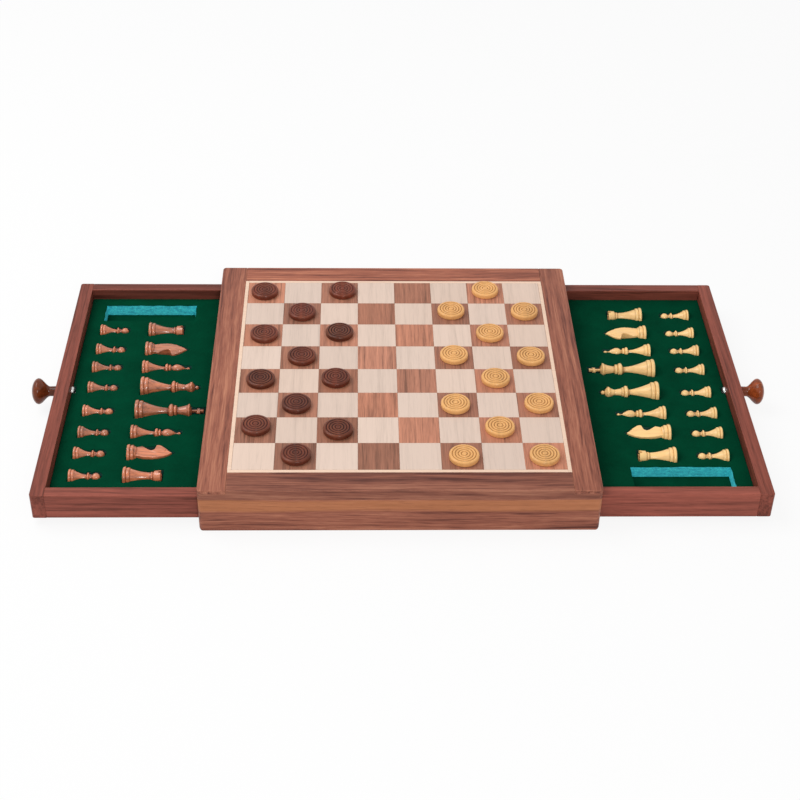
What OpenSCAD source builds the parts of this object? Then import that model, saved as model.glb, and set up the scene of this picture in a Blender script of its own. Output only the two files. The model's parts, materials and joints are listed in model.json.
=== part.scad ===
// Chess box with drawers. A square board forms the lid of a flat case, and a drawer slides
// out of each side of it. The dark chessmen lie in the left drawer's tray, the light ones in
// the right drawer's, and the draughts stand on the board.
// X runs from left to right, Y from front to back and Z up. The origin is at the middle of
// the case's underside. The drawers are drawn standing open.

/* [Board] */
// Side of the case, and so of the board with its frame
case_side = 305; // [285:1:345]
// Width of the pale stringing round the squares
stringing_w = 3; // [1.5:0.5:6]
// Width of the frame round the board
frame_w = 21.5; // [18:0.5:30]
// Thickness of the frame
frame_t = 9; // [8:0.5:14]
// Thickness of the squares and the stringing
square_t = 2.5; // [1.5:0.1:3.5]
// Thickness of the steel sheet under the squares
steel_t = 0.5; // [0.3:0.1:1]
// Thickness of the stiles' half of the lapped corner joints
lap_t = 3.5; // [3:0.5:4.5]
// Length of the core's tongue in the frame
tongue_l = 4; // [2:0.5:6]
// Thickness of the core's tongue
tongue_t = 3; // [2:0.5:3.5]
// Gap between neighbouring pieces of the inlay
inlay_gap = 0.1; // [0.05:0.05:0.3]

/* [Case] */
// Thickness of the front and back boards
board_t = 8; // [6:0.5:12]
// Thickness of the bottom panel
bottom_t = 5.5; // [4:0.5:9]
// Height of the bays that the drawers slide in
bay_h = 25.5; // [25:0.5:40]
// Thickness of the divider between the bays
divider_t = 6; // [4:0.5:10]
// How deep the bottom panel and the divider are let into the front and back boards
housing_d = 3; // [1:0.5:5]
// Radius of the case's upright outer edges
corner_r = 3; // [0.5:0.5:6]
// Radius of the lower corners of the front and back boards
toe_r = 2.5; // [0.5:0.5:5]

/* [Drawers] */
// Height of the drawers
drawer_h = 22.2; // [21:0.1:24]
// Thickness of the end board that carries the knob
end_t = 11; // [8:0.5:14]
// Thickness of the drawer's sides and inner end
wall_t = 10; // [6:0.5:11]
// Radius of the end board's upright outer edges
end_r = 2; // [0.5:0.5:5]
// Thickness of the plywood bottom
panel_t = 2; // [1.5:0.1:3]
// Width of the step in the walls that the plywood bottom lies in
rebate_w = 3; // [1:0.5:5]
// Gap between a drawer and each side of its bay
side_gap = 0.5; // [0.3:0.1:1]
// Gap between a drawer and the bottom panel
under_gap = 0.3; // [0.2:0.1:1]
// Gap between a closed drawer and the divider
back_gap = 1.5; // [0.5:0.5:4]
// How far the left drawer stands open
left_open = 127; // [100:0.5:130]
// How far the right drawer stands open
right_open = 133.5; // [100:0.5:134]

/* [Knobs] */
// Largest diameter of the knob
knob_d = 21.7; // [16:0.1:22]
// Length of the knob
knob_l = 22; // [16:0.5:30]
// Diameter of the knob's neck
neck_d = 9.5; // [8:0.5:14]
// Diameter of the knob's screw
screw_d = 4; // [3:0.5:5]
// Diameter of the screw's head
screw_head_d = 8; // [6:0.5:10]
// Thickness of the screw's head
screw_head_t = 2.4; // [1.5:0.1:4]
// How deep the screw goes into the knob
screw_grip = 14; // [8:0.5:15]

/* [Trays] */
// Thickness of the foam
foam_t = 9.8; // [8:0.1:12]
// Thickness of the baize skin on the foam
skin_t = 0.6; // [0.3:0.1:1]
// Thickness of the baize on the drawer's floor
lining_t = 0.4; // [0.3:0.1:1]
// Gap between the tray and the drawer's walls
tray_gap = 0.4; // [0.2:0.1:1]
// Gap between a chessman's foot and the edge of its cut-out
cut_gap = 0.5; // [0.4:0.1:1]
// Gap between the top of a chessman's head and the edge of its cut-out
head_gap = 1.6; // [1:0.1:2]
// Gap between a chessman's foot and the foam under it
seat_gap = 0.3; // [0.2:0.1:0.5]
// Spare width of the draughts slot
slot_spare_w = 0.5; // [0.3:0.1:3]
// Spare length of the draughts slot
slot_spare_l = 9; // [4:0.5:16]
// Distance from the drawer's side to the draughts slot
slot_margin = 10.5; // [6:0.5:14]
// Distance from the end board to the draughts slot
slot_inset = 13.6; // [8:0.1:20]
// Distance from the end board to the pawns' feet
pawn_inset = 12.6; // [9:0.1:16]
// Distance from the pawns' heads to the feet of the big chessmen
row_gap = 17.5; // [12:0.5:20]
// How far a king's foot lies in from the feet of the other big chessmen
king_in = 0.7; // [0:0.1:3]
// How far a queen's foot lies in from the feet of the other big chessmen
queen_in = 1.9; // [0:0.1:3]
// How far a lying chessman's axis is under the tray's top, where its foot leaves room for that
axis_drop = 2; // [0:0.1:3]
// Distance from the draughts slot to the axis of the first chessman
first_man = 14; // [10:0.5:16]
// Distance from the axis of the last chessman to the drawer's side
last_man = 24.8; // [14:0.1:30]

/* [Chessmen] */
// Height of a king
king_h = 55.5; // [50:0.5:60]
// Diameter of the foot of a king or a queen
king_d = 19; // [16:0.5:20]
// Height of a queen
queen_h = 48; // [44:0.5:55]
// Height of a bishop
bishop_h = 40; // [36:0.5:46]
// Diameter of a bishop's foot
bishop_d = 15; // [13:0.5:17]
// Height of a knight
knight_h = 35.5; // [32:0.5:42]
// Diameter of a knight's foot
knight_d = 16.5; // [14:0.5:18]
// Thickness of a knight's head
knight_t = 7; // [5:0.5:8]
// Height of a rook
rook_h = 29.5; // [26:0.5:36]
// Diameter of a rook's foot
rook_d = 16.5; // [14:0.5:18]
// Height of a pawn
pawn_h = 24.5; // [22:0.5:28]
// Diameter of a pawn's foot
pawn_d = 13.3; // [11:0.1:15]
// Thickness of the felt under a chessman
felt_t = 0.5; // [0.3:0.1:1]
// Diameter of the magnet in a chessman's foot
magnet_d = 6; // [4:0.5:7]
// Thickness of the magnet in a chessman's foot
magnet_t = 2.5; // [1.5:0.1:4]
// Gap round each magnet and screw
bore_gap = 0.05; // [0.02:0.01:0.1]

/* [Draughts] */
// Diameter of a draught
draught_d = 23.5; // [18:0.5:25]
// Thickness of a draught
draught_t = 4.5; // [4:0.1:6]
// Distance between the rings turned into a draught's top
ring_pitch = 2.3; // [1.5:0.1:2.5]
// Depth of those rings
ring_d = 0.5; // [0.2:0.1:0.8]
// Diameter of the magnet in a draught
draught_magnet_d = 8; // [5:0.5:10]
// Thickness of the magnet in a draught
draught_magnet_t = 1.5; // [1:0.1:2.5]
// How far a shift of one in the draughts' places moves a draught
shift_step = 1; // [0:0.25:1.5]

/* [Hidden] */
$fn = 64;
eps = 1;                  // overshoot of every cut through a face
squares = 8;              // squares along one side of the board
piles = 3;                // piles of draughts that the slot holds side by side
edge_break = 0.4;         // bevel on the foot of each chessman
sink = 0.2;               // how deep a draught's magnet lies in its bore
draught_edge = 0.9;       // bevel round the edges of a draught
thin_foam = 0.5;          // foam thinner than this isn't left under a chessman
draught_rim = 1.2;        // least distance from a draught's bevel to the middle of its first ring

inlay_side = case_side - 2 * frame_w;
square_side = (inlay_side - 2 * stringing_w) / squares;
core_t = frame_t - square_t - steel_t;
side_h = bottom_t + bay_h;
case_h = side_h + frame_t;
squares_z = case_h - square_t;

drawer_w = case_side - 2 * board_t - 2 * side_gap;
drawer_l = case_side / 2 - divider_t / 2 - back_gap;
drawer_z = bottom_t + under_gap;
inner_half_w = drawer_w / 2 - wall_t;
inner_l = drawer_l - end_t - wall_t;
floor_z = drawer_z + panel_t;
foam_z = floor_z + lining_t;
tray_z = foam_z + foam_t + skin_t;
knob_z = drawer_z + drawer_h / 2;

slot_w = draught_d + slot_spare_w;
slot_l = piles * draught_d + slot_spare_l;
slot_x = end_t + slot_inset;
slot_y = inner_half_w - slot_margin - slot_w;

// The chessmen lie in eight ranks across the drawer. The ranks aren't quite even.
RANKS = ["rook", "knight", "bishop", "queen", "king", "bishop", "knight", "rook"];
RANK_SHIFT = [0, -0.5, 1.5, 1.2, -2.4, -2.2, -0.7, 0];
rank_first_y = slot_y - first_man;
rank_last_y = last_man - inner_half_w;
rank_pitch = (rank_first_y - rank_last_y) / (len(RANKS) - 1);
pawn_x = end_t + pawn_inset;
man_x = pawn_x + pawn_h + row_gap;

// Each draught as [column, row, shift in X, shift in Y], counted from the back left square
DARK_PLACES = [
    [1, 1, -1.5, -0.5], [3, 1, 2.5, 1], [2, 2, 0, -0.5], [1, 3, 1, -1], [3, 3, 0.5, 1.5], [2, 4, 1.5, -1],
    [1, 5, 1, -0.5], [3, 5, -2, 1], [2, 6, -1, -1], [1, 7, 0, 3], [3, 7, 0.5, -1.5], [2, 8, 0.5, -0.5]
];
LIGHT_PLACES = [
    [7, 1, 0, 2], [6, 2, 0.5, 2], [8, 2, 0, 1], [7, 3, 0, 0.5], [6, 4, 0, 1], [8, 4, 0, -1],
    [7, 5, 0.5, 1], [6, 6, -2, -1.5], [8, 6, 1, -0.5], [7, 7, -0.5, 1], [6, 8, 1.5, -2], [8, 8, -0.5, -1.5]
];

WALNUT = "#8f5848";
DARK_SQUARE = "#a06a50";
MAPLE = "#e8d2be";
STRINGING = "#f6dcc8";
BAIZE = "#00482e";
FOAM = "#2f97a5";
DARK_MAN = "#b5643c";
LIGHT_MAN = "#eeb070";
DARK_DRAUGHT = "#6b3424";
LIGHT_DRAUGHT = "#dca468";
STEEL = "#c8ccd0";
FELT = "#0d5a3c";

// ---- Small helpers ----

// A block from its lowest corner to its highest
module block(low, high) {
    translate(low) cube(high - low);
}

// A plate with its upright edges rounded
module rounded_plate(width, depth, height, r) {
    linear_extrude(height) {
        square([width - 2 * r, depth], center = true);
        square([width, depth - 2 * r], center = true);
        for (x = [-1, 1], y = [-1, 1]) {
            translate([x * (width / 2 - r), y * (depth / 2 - r)]) circle(r);
        }
    }
}

// Points of a curve that starts steep and flattens, each as [height, radius]
function flare(z0, r0, z1, r1, bend = 1.8, steps = 6) = [
    for (i = [0:steps]) let (t = i / steps) [z0 + (z1 - z0) * t, r1 + (r0 - r1) * pow(1 - t, bend)]
];

// Points of an arc in [height, radius] that ends at a height, by angle from the axis's foot end
function arc(top, r, from, to, steps = 6) = [
    for (i = [0:steps]) let (a = from + (to - from) * i / steps) [top + r * (cos(to) - cos(a)), r * sin(a)]
];

// Points given as shares of a height and a radius
function scaled(points, h, r) = [for (p = points) [p[0] * h, p[1] * r]];

// The side of the line from a to b that is on the left
function left_of(a, b) = let (d = (b - a) / norm(b - a)) [-d[1], d[0]];

// An open line moved to its left by a distance for each of its points, with its corners mitred
function grown(line, by) = [
    for (i = [0:len(line) - 1])
        let (before = left_of(line[max(i - 1, 0)], line[max(i, 1)]),
             after = left_of(line[min(i, len(line) - 2)], line[min(i + 1, len(line) - 1)]),
             middle = (before + after) / norm(before + after))
        line[i] + middle * by[i] / max(middle * before, 0.6)
];

// A closed line moved to its left by a distance for each of its points, with its corners mitred
function grown_ring(ring, by) = [
    for (i = [0:len(ring) - 1])
        let (n = len(ring),
             before = left_of(ring[(i + n - 1) % n], ring[i]),
             after = left_of(ring[i], ring[(i + 1) % n]),
             middle = (before + after) / norm(before + after))
        ring[i] + middle * by[i] / max(middle * before, 0.6)
];

// ---- Case ----

module case_outline(z0, z1) {
    translate([0, 0, z0]) rounded_plate(case_side, case_side, z1 - z0, corner_r);
}

// The front board. The back board is its mirror image.
module long_board() {
    inner_y = -case_side / 2 + board_t;
    difference() {
        intersection() {
            case_outline(0, side_h);
            block([-case_side, -case_side, 0], [case_side, inner_y, side_h]);
            union() {
                block([-case_side, -case_side, toe_r], [case_side, 0, side_h]);
                block([toe_r - case_side / 2, -case_side, 0], [case_side / 2 - toe_r, 0, toe_r + eps]);
                for (x = [-1, 1]) {
                    translate([x * (case_side / 2 - toe_r), 0, toe_r]) rotate([90, 0, 0])
                        cylinder(r = toe_r, h = case_side);
                }
            }
        }
        bottom_panel_body();
        divider_body();
    }
}

module front_board() {
    color(WALNUT) long_board();
}

module back_board() {
    color(WALNUT) mirror([0, 1, 0]) long_board();
}

module bottom_panel_body() {
    half_y = case_side / 2 - board_t + housing_d;
    block([-case_side / 2, -half_y, 0], [case_side / 2, half_y, bottom_t]);
}

module bottom_panel() {
    color(WALNUT) bottom_panel_body();
}

module divider_body() {
    half_y = case_side / 2 - board_t + housing_d;
    block([-divider_t / 2, -half_y, bottom_t], [divider_t / 2, half_y, side_h]);
}

module drawer_divider() {
    color(WALNUT) divider_body();
}

module core_body() {
    tongue = inlay_side / 2 + tongue_l;
    tongue_z = side_h + (core_t - tongue_t) / 2;
    half = inlay_side / 2;
    block([-half, -half, side_h], [half, half, side_h + core_t]);
    block([-tongue, -tongue, tongue_z], [tongue, tongue, tongue_z + tongue_t]);
}

module board_core() {
    color(MAPLE) core_body();
}

// Left and right members of the frame. Their ends lie over the rails' ends.
module frame_stiles() {
    half = inlay_side / 2;
    outer = case_side / 2;
    color(WALNUT) difference() {
        intersection() {
            case_outline(side_h, case_h);
            for (x = [-1, 1]) {
                translate([x * (half + frame_w / 2), 0, 0]) {
                    block([-frame_w / 2, -half, side_h], [frame_w / 2, half, case_h]);
                    block([-frame_w / 2, -outer, case_h - lap_t], [frame_w / 2, outer, case_h]);
                }
            }
        }
        core_body();
    }
}

// Front and back members of the frame
module frame_rails() {
    half = inlay_side / 2;
    outer = case_side / 2;
    color(WALNUT) difference() {
        intersection() {
            case_outline(side_h, case_h);
            for (y = [-1, 1]) {
                translate([0, y * (half + frame_w / 2), 0]) {
                    block([-half, -frame_w / 2, side_h], [half, frame_w / 2, case_h]);
                    block([-outer, -frame_w / 2, side_h], [outer, frame_w / 2, case_h - lap_t]);
                }
            }
        }
        core_body();
    }
}

module steel_sheet() {
    half = inlay_side / 2;
    color(STEEL) block([-half, -half, squares_z - steel_t], [half, half, squares_z]);
}

// Centre of a square, by its column and row from the back left corner
function square_centre(column, row) =
    [(column - (squares + 1) / 2) * square_side, ((squares + 1) / 2 - row) * square_side];

// The squares whose column and row add up to an even or an odd number
module squares_of(remainder) {
    side = square_side - inlay_gap;
    for (column = [1:squares], row = [1:squares]) {
        if ((column + row) % 2 == remainder) {
            translate(concat(square_centre(column, row), squares_z + square_t / 2))
                cube([side, side, square_t], center = true);
        }
    }
}

module dark_squares() {
    color(DARK_SQUARE) squares_of(0);
}

module light_squares() {
    color(MAPLE) squares_of(1);
}

// Each strip runs past one end of its neighbour and stops at the other
module board_stringing() {
    half = inlay_side / 2;
    inner = half - stringing_w;
    color(STRINGING) for (turn = [0:3]) {
        rotate(90 * turn)
            block([inlay_gap - half, -half, squares_z], [inner, -inner - inlay_gap, case_h]);
    }
}

// ---- Drawers ----
// A drawer is drawn with its end board's outer face at X = 0 and its length along +X, and
// then stood in its bay.

module in_left_drawer() {
    translate([-case_side / 2 - left_open, 0, 0]) children();
}

module in_right_drawer() {
    translate([case_side / 2 + right_open, 0, 0]) rotate(180) children();
}

module plywood_body() {
    half = inner_half_w + rebate_w;
    block([end_t - rebate_w, -half, drawer_z], [drawer_l - wall_t + rebate_w, half, floor_z]);
}

module drawer_end() {
    difference() {
        intersection() {
            translate([drawer_l / 2, 0, drawer_z]) rounded_plate(drawer_l, drawer_w, drawer_h, end_r);
            block([0, -drawer_w, drawer_z], [end_t, drawer_w, drawer_z + drawer_h]);
        }
        plywood_body();
        screw_bore();
    }
}

module drawer_inner_end() {
    difference() {
        block([drawer_l - wall_t, -inner_half_w, drawer_z], [drawer_l, inner_half_w, drawer_z + drawer_h]);
        plywood_body();
    }
}

// The side on the draughts slot's side of the drawer, or with side = -1 the other one
module drawer_side(side) {
    difference() {
        translate([0, side * (inner_half_w + wall_t / 2), 0])
            block([end_t, -wall_t / 2, drawer_z], [drawer_l, wall_t / 2, drawer_z + drawer_h]);
        plywood_body();
    }
}

module floor_lining() {
    block([end_t, -inner_half_w, floor_z], [end_t + inner_l, inner_half_w, foam_z]);
}

// ---- Knob and its screw ----

// The knob's outline from the drawer's face outwards, as [height, radius]. Its neck swells
// evenly into the head
function knob_line() = let (r = knob_d / 2, neck = neck_d / 2) concat(
    [[0, neck * 1.12], [knob_l * 0.04, neck * 1.12]],
    [for (t = [0:0.125:1]) [knob_l * (0.12 + 0.62 * t), neck + (r - neck) * t * t * (3 - 2 * t)]],
    [for (a = [15:15:75]) [knob_l * (0.74 + 0.26 * sin(a)), r * cos(a)]]
);

module screw_bore() {
    translate([-screw_grip, 0, knob_z]) rotate([0, 90, 0])
        cylinder(d = screw_d + 2 * bore_gap, h = screw_grip + end_t + eps);
}

module knob() {
    difference() {
        translate([0, 0, knob_z]) rotate([0, -90, 0]) lathed(knob_line());
        screw_bore();
    }
}

module knob_screw() {
    tip_gap = 0.5;
    translate([0, 0, knob_z]) rotate([0, 90, 0]) {
        translate([0, 0, tip_gap - screw_grip]) cylinder(d = screw_d, h = screw_grip - tip_gap + end_t);
        translate([0, 0, end_t]) cylinder(d = screw_head_d, h = screw_head_t);
    }
}

// ---- Chessmen ----
// Each stands on Z = 0 with its felt down, and is then laid in its cut-out.

// A solid turned from an outline of [height, radius] points
module lathed(line) {
    last = line[len(line) - 1];
    rotate_extrude() polygon(concat([[0, line[0][0]]], [for (p = line) [p[1], p[0]]], [[0, last[0]]]));
}

// The foot that all the chessmen share: a rim and a ring over it
function foot_line(r) = concat(
    [[felt_t, r - edge_break], [felt_t + edge_break, r]],
    [[r * 0.32, r], [r * 0.38, r * 0.92], [r * 0.68, r * 0.9], [r * 0.74, r * 0.82]]
);

function king_body_line(h, r) = concat(
    foot_line(r),
    flare(r * 0.8, r * 0.79, h * 0.47, r * 0.28, 1.6),
    scaled([[0.505, 0.63], [0.555, 0.63], [0.57, 0.52], [0.605, 0.52], [0.62, 0.36]], h, r),
    flare(h * 0.635, r * 0.36, h * 0.79, r * 0.63, 0.6, 4),
    scaled([[0.81, 0.5], [0.825, 0.4]], h, r)
);

function queen_line(h, r) = concat(
    foot_line(r),
    flare(r * 0.8, r * 0.79, h * 0.51, r * 0.27, 1.4),
    scaled([[0.545, 0.61], [0.595, 0.61], [0.61, 0.5], [0.64, 0.46]], h, r),
    flare(h * 0.65, r * 0.38, h * 0.765, r * 0.28, 1.3, 4),
    scaled([[0.805, 0.34], [0.85, 0.51], [0.895, 0.51], [0.92, 0.26]], h, r),
    arc(h, r * 0.17, 50, 150, 4)
);

function bishop_line(h, r) = let (head_r = r * 0.46) concat(
    foot_line(r),
    flare(r * 0.8, r * 0.77, h * 0.47, r * 0.25, 1.7),
    scaled([[0.495, 0.6], [0.545, 0.6], [0.56, 0.49], [0.6, 0.49], [0.615, 0.3]], h, r),
    [for (t = [0.1:0.135:0.91])
        [h * (0.62 + 0.29 * t), head_r * pow(sin(180 * pow(t, 0.75)), 0.8) + r * 0.1 * (1 - t)]],
    [[h * 0.925, r * 0.1]],
    arc(h, r * 0.18, 60, 150, 4)
);

function rook_line(h, r) = concat(
    foot_line(r),
    flare(r * 0.8, r * 0.79, h * 0.73, r * 0.43, 1.9),
    scaled([[0.79, 0.5], [0.83, 0.61], [1, 0.65]], h, r)
);

function pawn_line(h, r) = let (head_r = r * 0.5) concat(
    foot_line(r),
    flare(r * 0.8, r * 0.77, h * 0.57, r * 0.33, 1.8, 4),
    scaled([[0.6, 0.56], [0.65, 0.56], [0.67, 0.34], [0.73, 0.33]], h, r),
    arc(h, head_r, 50, 170, 8)
);

function knight_foot_line(r) = concat(
    foot_line(r),
    [[r * 0.92, r * 0.72]]
);

// Side view of a knight's head as [height, distance in front of the axis], in shares of the
// knight's height and its foot's radius: up the mane, over the ears and down the face
KNIGHT_HEAD = [
    [0.16, -0.6], [0.25, -0.65], [0.38, -0.8], [0.55, -0.83], [0.7, -0.74], [0.83, -0.52], [0.93, -0.24],
    [1, 0.04], [0.94, 0.2], [0.9, 0.38], [0.85, 0.6], [0.785, 0.84], [0.72, 1], [0.665, 1.05], [0.64, 0.95],
    [0.628, 0.7], [0.6, 0.5], [0.55, 0.45], [0.48, 0.51], [0.4, 0.65], [0.33, 0.78], [0.26, 0.72], [0.16, 0.6]
];

// Which points of the side view are the underside of the nose and the top of the chest
KNIGHT_NOSE = 14;
KNIGHT_CHEST = 20;

// Front view of a knight's head as [height, half its width], in shares of height and thickness
KNIGHT_FRONT = [[0, 0.5], [0.5, 0.5], [0.78, 0.42], [1, 0.24]];

module turned_man(line) {
    difference() {
        lathed(line);
        magnet_bore();
    }
}

module magnet_bore() {
    translate([0, 0, felt_t - eps]) cylinder(d = magnet_d + 2 * bore_gap, h = magnet_t + eps + bore_gap);
}

module king() {
    cross_t = king_d * 0.13;
    cross_w = king_d * 0.17;
    cross_z = king_h * 0.82;
    arm_z = king_h * 0.91;
    turned_man(king_body_line(king_h, king_d / 2));
    translate([0, cross_t / 2, 0]) rotate([90, 0, 0]) linear_extrude(cross_t) {
        translate([-cross_t / 2, cross_z]) square([cross_t, king_h - cross_z]);
        translate([-cross_w, arm_z]) square([2 * cross_w, cross_t]);
    }
}

module queen() {
    turned_man(queen_line(queen_h, king_d / 2));
}

module bishop() {
    turned_man(bishop_line(bishop_h, bishop_d / 2));
}

module rook() {
    r = rook_d / 2;
    well_r = r * 0.42;
    notch_w = r * 0.26;
    well_d = rook_h * 0.12;
    difference() {
        turned_man(rook_line(rook_h, r));
        translate([0, 0, rook_h - well_d]) cylinder(r = well_r, h = well_d + eps);
        for (turn = [0, 90]) {
            rotate(turn) translate([0, 0, rook_h]) cube([2 * r, notch_w, well_d], center = true);
        }
    }
}

module pawn() {
    turned_man(pawn_line(pawn_h, pawn_d / 2));
}

// Faces along +X
module knight() {
    r = knight_d / 2;
    head = [for (p = scaled(KNIGHT_HEAD, knight_h, r)) [p[1], p[0]]];
    front = scaled(KNIGHT_FRONT, knight_h, knight_t);
    front_ring = concat(
        [for (p = front) [p[1], p[0]]],
        [for (i = [len(front) - 1:-1:0]) [-front[i][1], front[i][0]]]
    );
    difference() {
        union() {
            lathed(knight_foot_line(r));
            intersection() {
                translate([0, knight_t / 2, 0]) rotate([90, 0, 0]) linear_extrude(knight_t) polygon(head);
                rotate([90, 0, 90]) translate([0, 0, -2 * r]) linear_extrude(4 * r) polygon(front_ring);
            }
        }
        magnet_bore();
    }
}

// Magnet and felt of a chessman, by the diameter of its foot
module magnet_and_felt(d) {
    cylinder(d = d - 2 * edge_break, h = felt_t);
    translate([0, 0, felt_t + bore_gap]) cylinder(d = magnet_d, h = magnet_t - bore_gap);
}

// ---- Places in the tray ----

function rank_y(rank) = rank_first_y - rank * rank_pitch + RANK_SHIFT[rank];

function lying_z(d) = max(tray_z - axis_drop, foam_z + d / 2 + seat_gap);

function foot_x(kind) = man_x + (kind == "king" ? king_in : kind == "queen" ? queen_in : 0);

function ranks_of(kind) = [for (rank = [0:len(RANKS) - 1]) if (RANKS[rank] == kind) rank];

// Lays what it is given along +X, with what faces +X turned towards the drawer's middle
module laid(rank, x, d) {
    roll = rank < len(RANKS) / 2 ? -90 : 90;
    translate([x, rank_y(rank), lying_z(d)]) rotate([0, 90, 0]) rotate(roll) children();
}

module laid_men(kind, d) {
    for (rank = ranks_of(kind)) {
        laid(rank, foot_x(kind), d) children();
    }
}

module laid_pawns() {
    for (rank = [0:len(RANKS) - 1]) {
        laid(rank, pawn_x, pawn_d) children();
    }
}

// ---- Trays ----

// Room round a chessman at each point of a line, from its foot to its loosely held head
function room_round(line, h) = [for (p = line) cut_gap + (head_gap - cut_gap) * pow(p[0] / h, 2)];

// Cut-out for a turned chessman of height h, lying along +X
module turned_cut(line, h) {
    last = line[len(line) - 1];
    outline = concat([[line[0][0] - felt_t, 0], [line[0][0] - felt_t, line[1][1]]],
        [for (i = [2:len(line) - 1]) line[i]], [[last[0], 0]]);
    edge = grown(outline, room_round(outline, h));
    back = [for (i = [len(edge) - 2:-1:1]) [edge[i][0], -edge[i][1]]];
    polygon(concat(edge, back));
}

module king_cut() {
    finial_r = king_d * 0.17;
    finial = [[king_h * 0.84, finial_r], [king_h, finial_r]];
    turned_cut(concat(king_body_line(king_h, king_d / 2), finial), king_h);
}

// Cut-out for a knight that lies along +X and faces -Y. It runs straight from the nose to the chest
module knight_cut() {
    r = knight_d / 2;
    open_line = [
        for (i = [0:len(KNIGHT_HEAD) - 1])
            if (i <= KNIGHT_NOSE || i >= KNIGHT_CHEST) KNIGHT_HEAD[i]
    ];
    head = [for (p = scaled(open_line, knight_h, r)) [p[0], -p[1]]];
    turned_cut(knight_foot_line(r), knight_h);
    polygon(grown_ring(head, room_round(head, knight_h)));
}

module man_cut(kind) {
    if (kind == "king") king_cut();
    if (kind == "queen") turned_cut(queen_line(queen_h, king_d / 2), queen_h);
    if (kind == "bishop") turned_cut(bishop_line(bishop_h, bishop_d / 2), bishop_h);
    if (kind == "knight") knight_cut();
    if (kind == "rook") turned_cut(rook_line(rook_h, rook_d / 2), rook_h);
    if (kind == "pawn") turned_cut(pawn_line(pawn_h, pawn_d / 2), pawn_h);
}

function foot_d(kind) =
    kind == "pawn" ? pawn_d :
    kind == "rook" ? rook_d :
    kind == "knight" ? knight_d :
    kind == "bishop" ? bishop_d : king_d;

// Plan of one cut-out in its place
module placed_cut(kind, rank, x) {
    facing = rank < len(RANKS) / 2 ? 1 : -1;
    translate([x, rank_y(rank)]) scale([1, facing]) man_cut(kind);
}

// Every cut-out, as a prism from just under the chessman's foot upwards
module man_recesses() {
    for (rank = [0:len(RANKS) - 1]) {
        recess(RANKS[rank], rank, foot_x(RANKS[rank]));
        recess("pawn", rank, pawn_x);
    }
}

// A cut-out that comes down to the floor lining goes right through the foam
module recess(kind, rank, x) {
    low = lying_z(foot_d(kind)) - foot_d(kind) / 2 - seat_gap;
    bottom = low < foam_z + thin_foam ? foam_z - eps : low;
    translate([0, 0, bottom]) linear_extrude(tray_z - bottom + eps) placed_cut(kind, rank, x);
}

module slot_plan() {
    translate([slot_x, slot_y]) square([slot_l, slot_w]);
}

// Room for the screw's head at the tray's outer edge
module screw_notch_plan() {
    room = 1;
    side = screw_head_d + 2 * room;
    translate([end_t - eps, -side / 2]) square([screw_head_t + room + eps, side]);
}

module tray_plan() {
    difference() {
        translate([end_t + tray_gap, tray_gap - inner_half_w])
            square([inner_l - 2 * tray_gap, 2 * (inner_half_w - tray_gap)]);
        slot_plan();
        screw_notch_plan();
    }
}

module tray_foam() {
    difference() {
        translate([0, 0, foam_z]) linear_extrude(foam_t) tray_plan();
        man_recesses();
    }
}

module tray_skin() {
    translate([0, 0, foam_z + foam_t]) linear_extrude(skin_t) difference() {
        tray_plan();
        for (rank = [0:len(RANKS) - 1]) {
            placed_cut(RANKS[rank], rank, foot_x(RANKS[rank]));
            placed_cut("pawn", rank, pawn_x);
        }
    }
}

// ---- Draughts ----

module draught() {
    r = draught_d / 2;
    edge = draught_edge;
    rings = floor((r - edge - draught_rim) / ring_pitch);
    top = [for (i = [rings:-1:1]) each [
        [i * ring_pitch + ring_d, draught_t],
        [i * ring_pitch, draught_t - ring_d],
        [i * ring_pitch - ring_d, draught_t]
    ]];
    difference() {
        rotate_extrude() polygon(concat(
            [[0, 0], [r - edge, 0], [r, edge], [r, draught_t - edge], [r - edge, draught_t]],
            top,
            [[0, draught_t]]
        ));
        translate([0, 0, -eps])
            cylinder(d = draught_magnet_d + 2 * bore_gap, h = eps + sink + draught_magnet_t + bore_gap);
    }
}

module draught_magnet() {
    translate([0, 0, sink]) cylinder(d = draught_magnet_d, h = draught_magnet_t);
}

module on_squares(places) {
    for (place = places) {
        centre = square_centre(place[0], place[1]);
        shift = shift_step * [place[2], place[3]];
        translate([centre[0] + shift[0], centre[1] + shift[1], case_h]) children();
    }
}

// ---- Parts in their places ----

front_board();
back_board();
bottom_panel();
drawer_divider();
frame_stiles();
frame_rails();
board_core();
steel_sheet();
dark_squares();
light_squares();
board_stringing();

in_left_drawer() color(WALNUT) drawer_end();  // left_drawer_end
in_left_drawer() color(WALNUT) drawer_inner_end();  // left_drawer_inner_end
in_left_drawer() color(WALNUT) drawer_side(-1);  // left_drawer_front_side
in_left_drawer() color(WALNUT) drawer_side(1);  // left_drawer_back_side
in_left_drawer() color(MAPLE) plywood_body();  // left_drawer_bottom
in_left_drawer() color(BAIZE) floor_lining();  // left_floor_baize
in_left_drawer() color(FOAM) tray_foam();  // left_tray_foam
in_left_drawer() color(BAIZE) tray_skin();  // left_tray_baize
in_left_drawer() color(WALNUT) knob();  // left_knob
in_left_drawer() color(STEEL) knob_screw();  // left_knob_screw

in_right_drawer() color(WALNUT) drawer_end();  // right_drawer_end
in_right_drawer() color(WALNUT) drawer_inner_end();  // right_drawer_inner_end
in_right_drawer() color(WALNUT) drawer_side(1);  // right_drawer_front_side
in_right_drawer() color(WALNUT) drawer_side(-1);  // right_drawer_back_side
in_right_drawer() color(MAPLE) plywood_body();  // right_drawer_bottom
in_right_drawer() color(BAIZE) floor_lining();  // right_floor_baize
in_right_drawer() color(FOAM) tray_foam();  // right_tray_foam
in_right_drawer() color(BAIZE) tray_skin();  // right_tray_baize
in_right_drawer() color(WALNUT) knob();  // right_knob
in_right_drawer() color(STEEL) knob_screw();  // right_knob_screw

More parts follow.
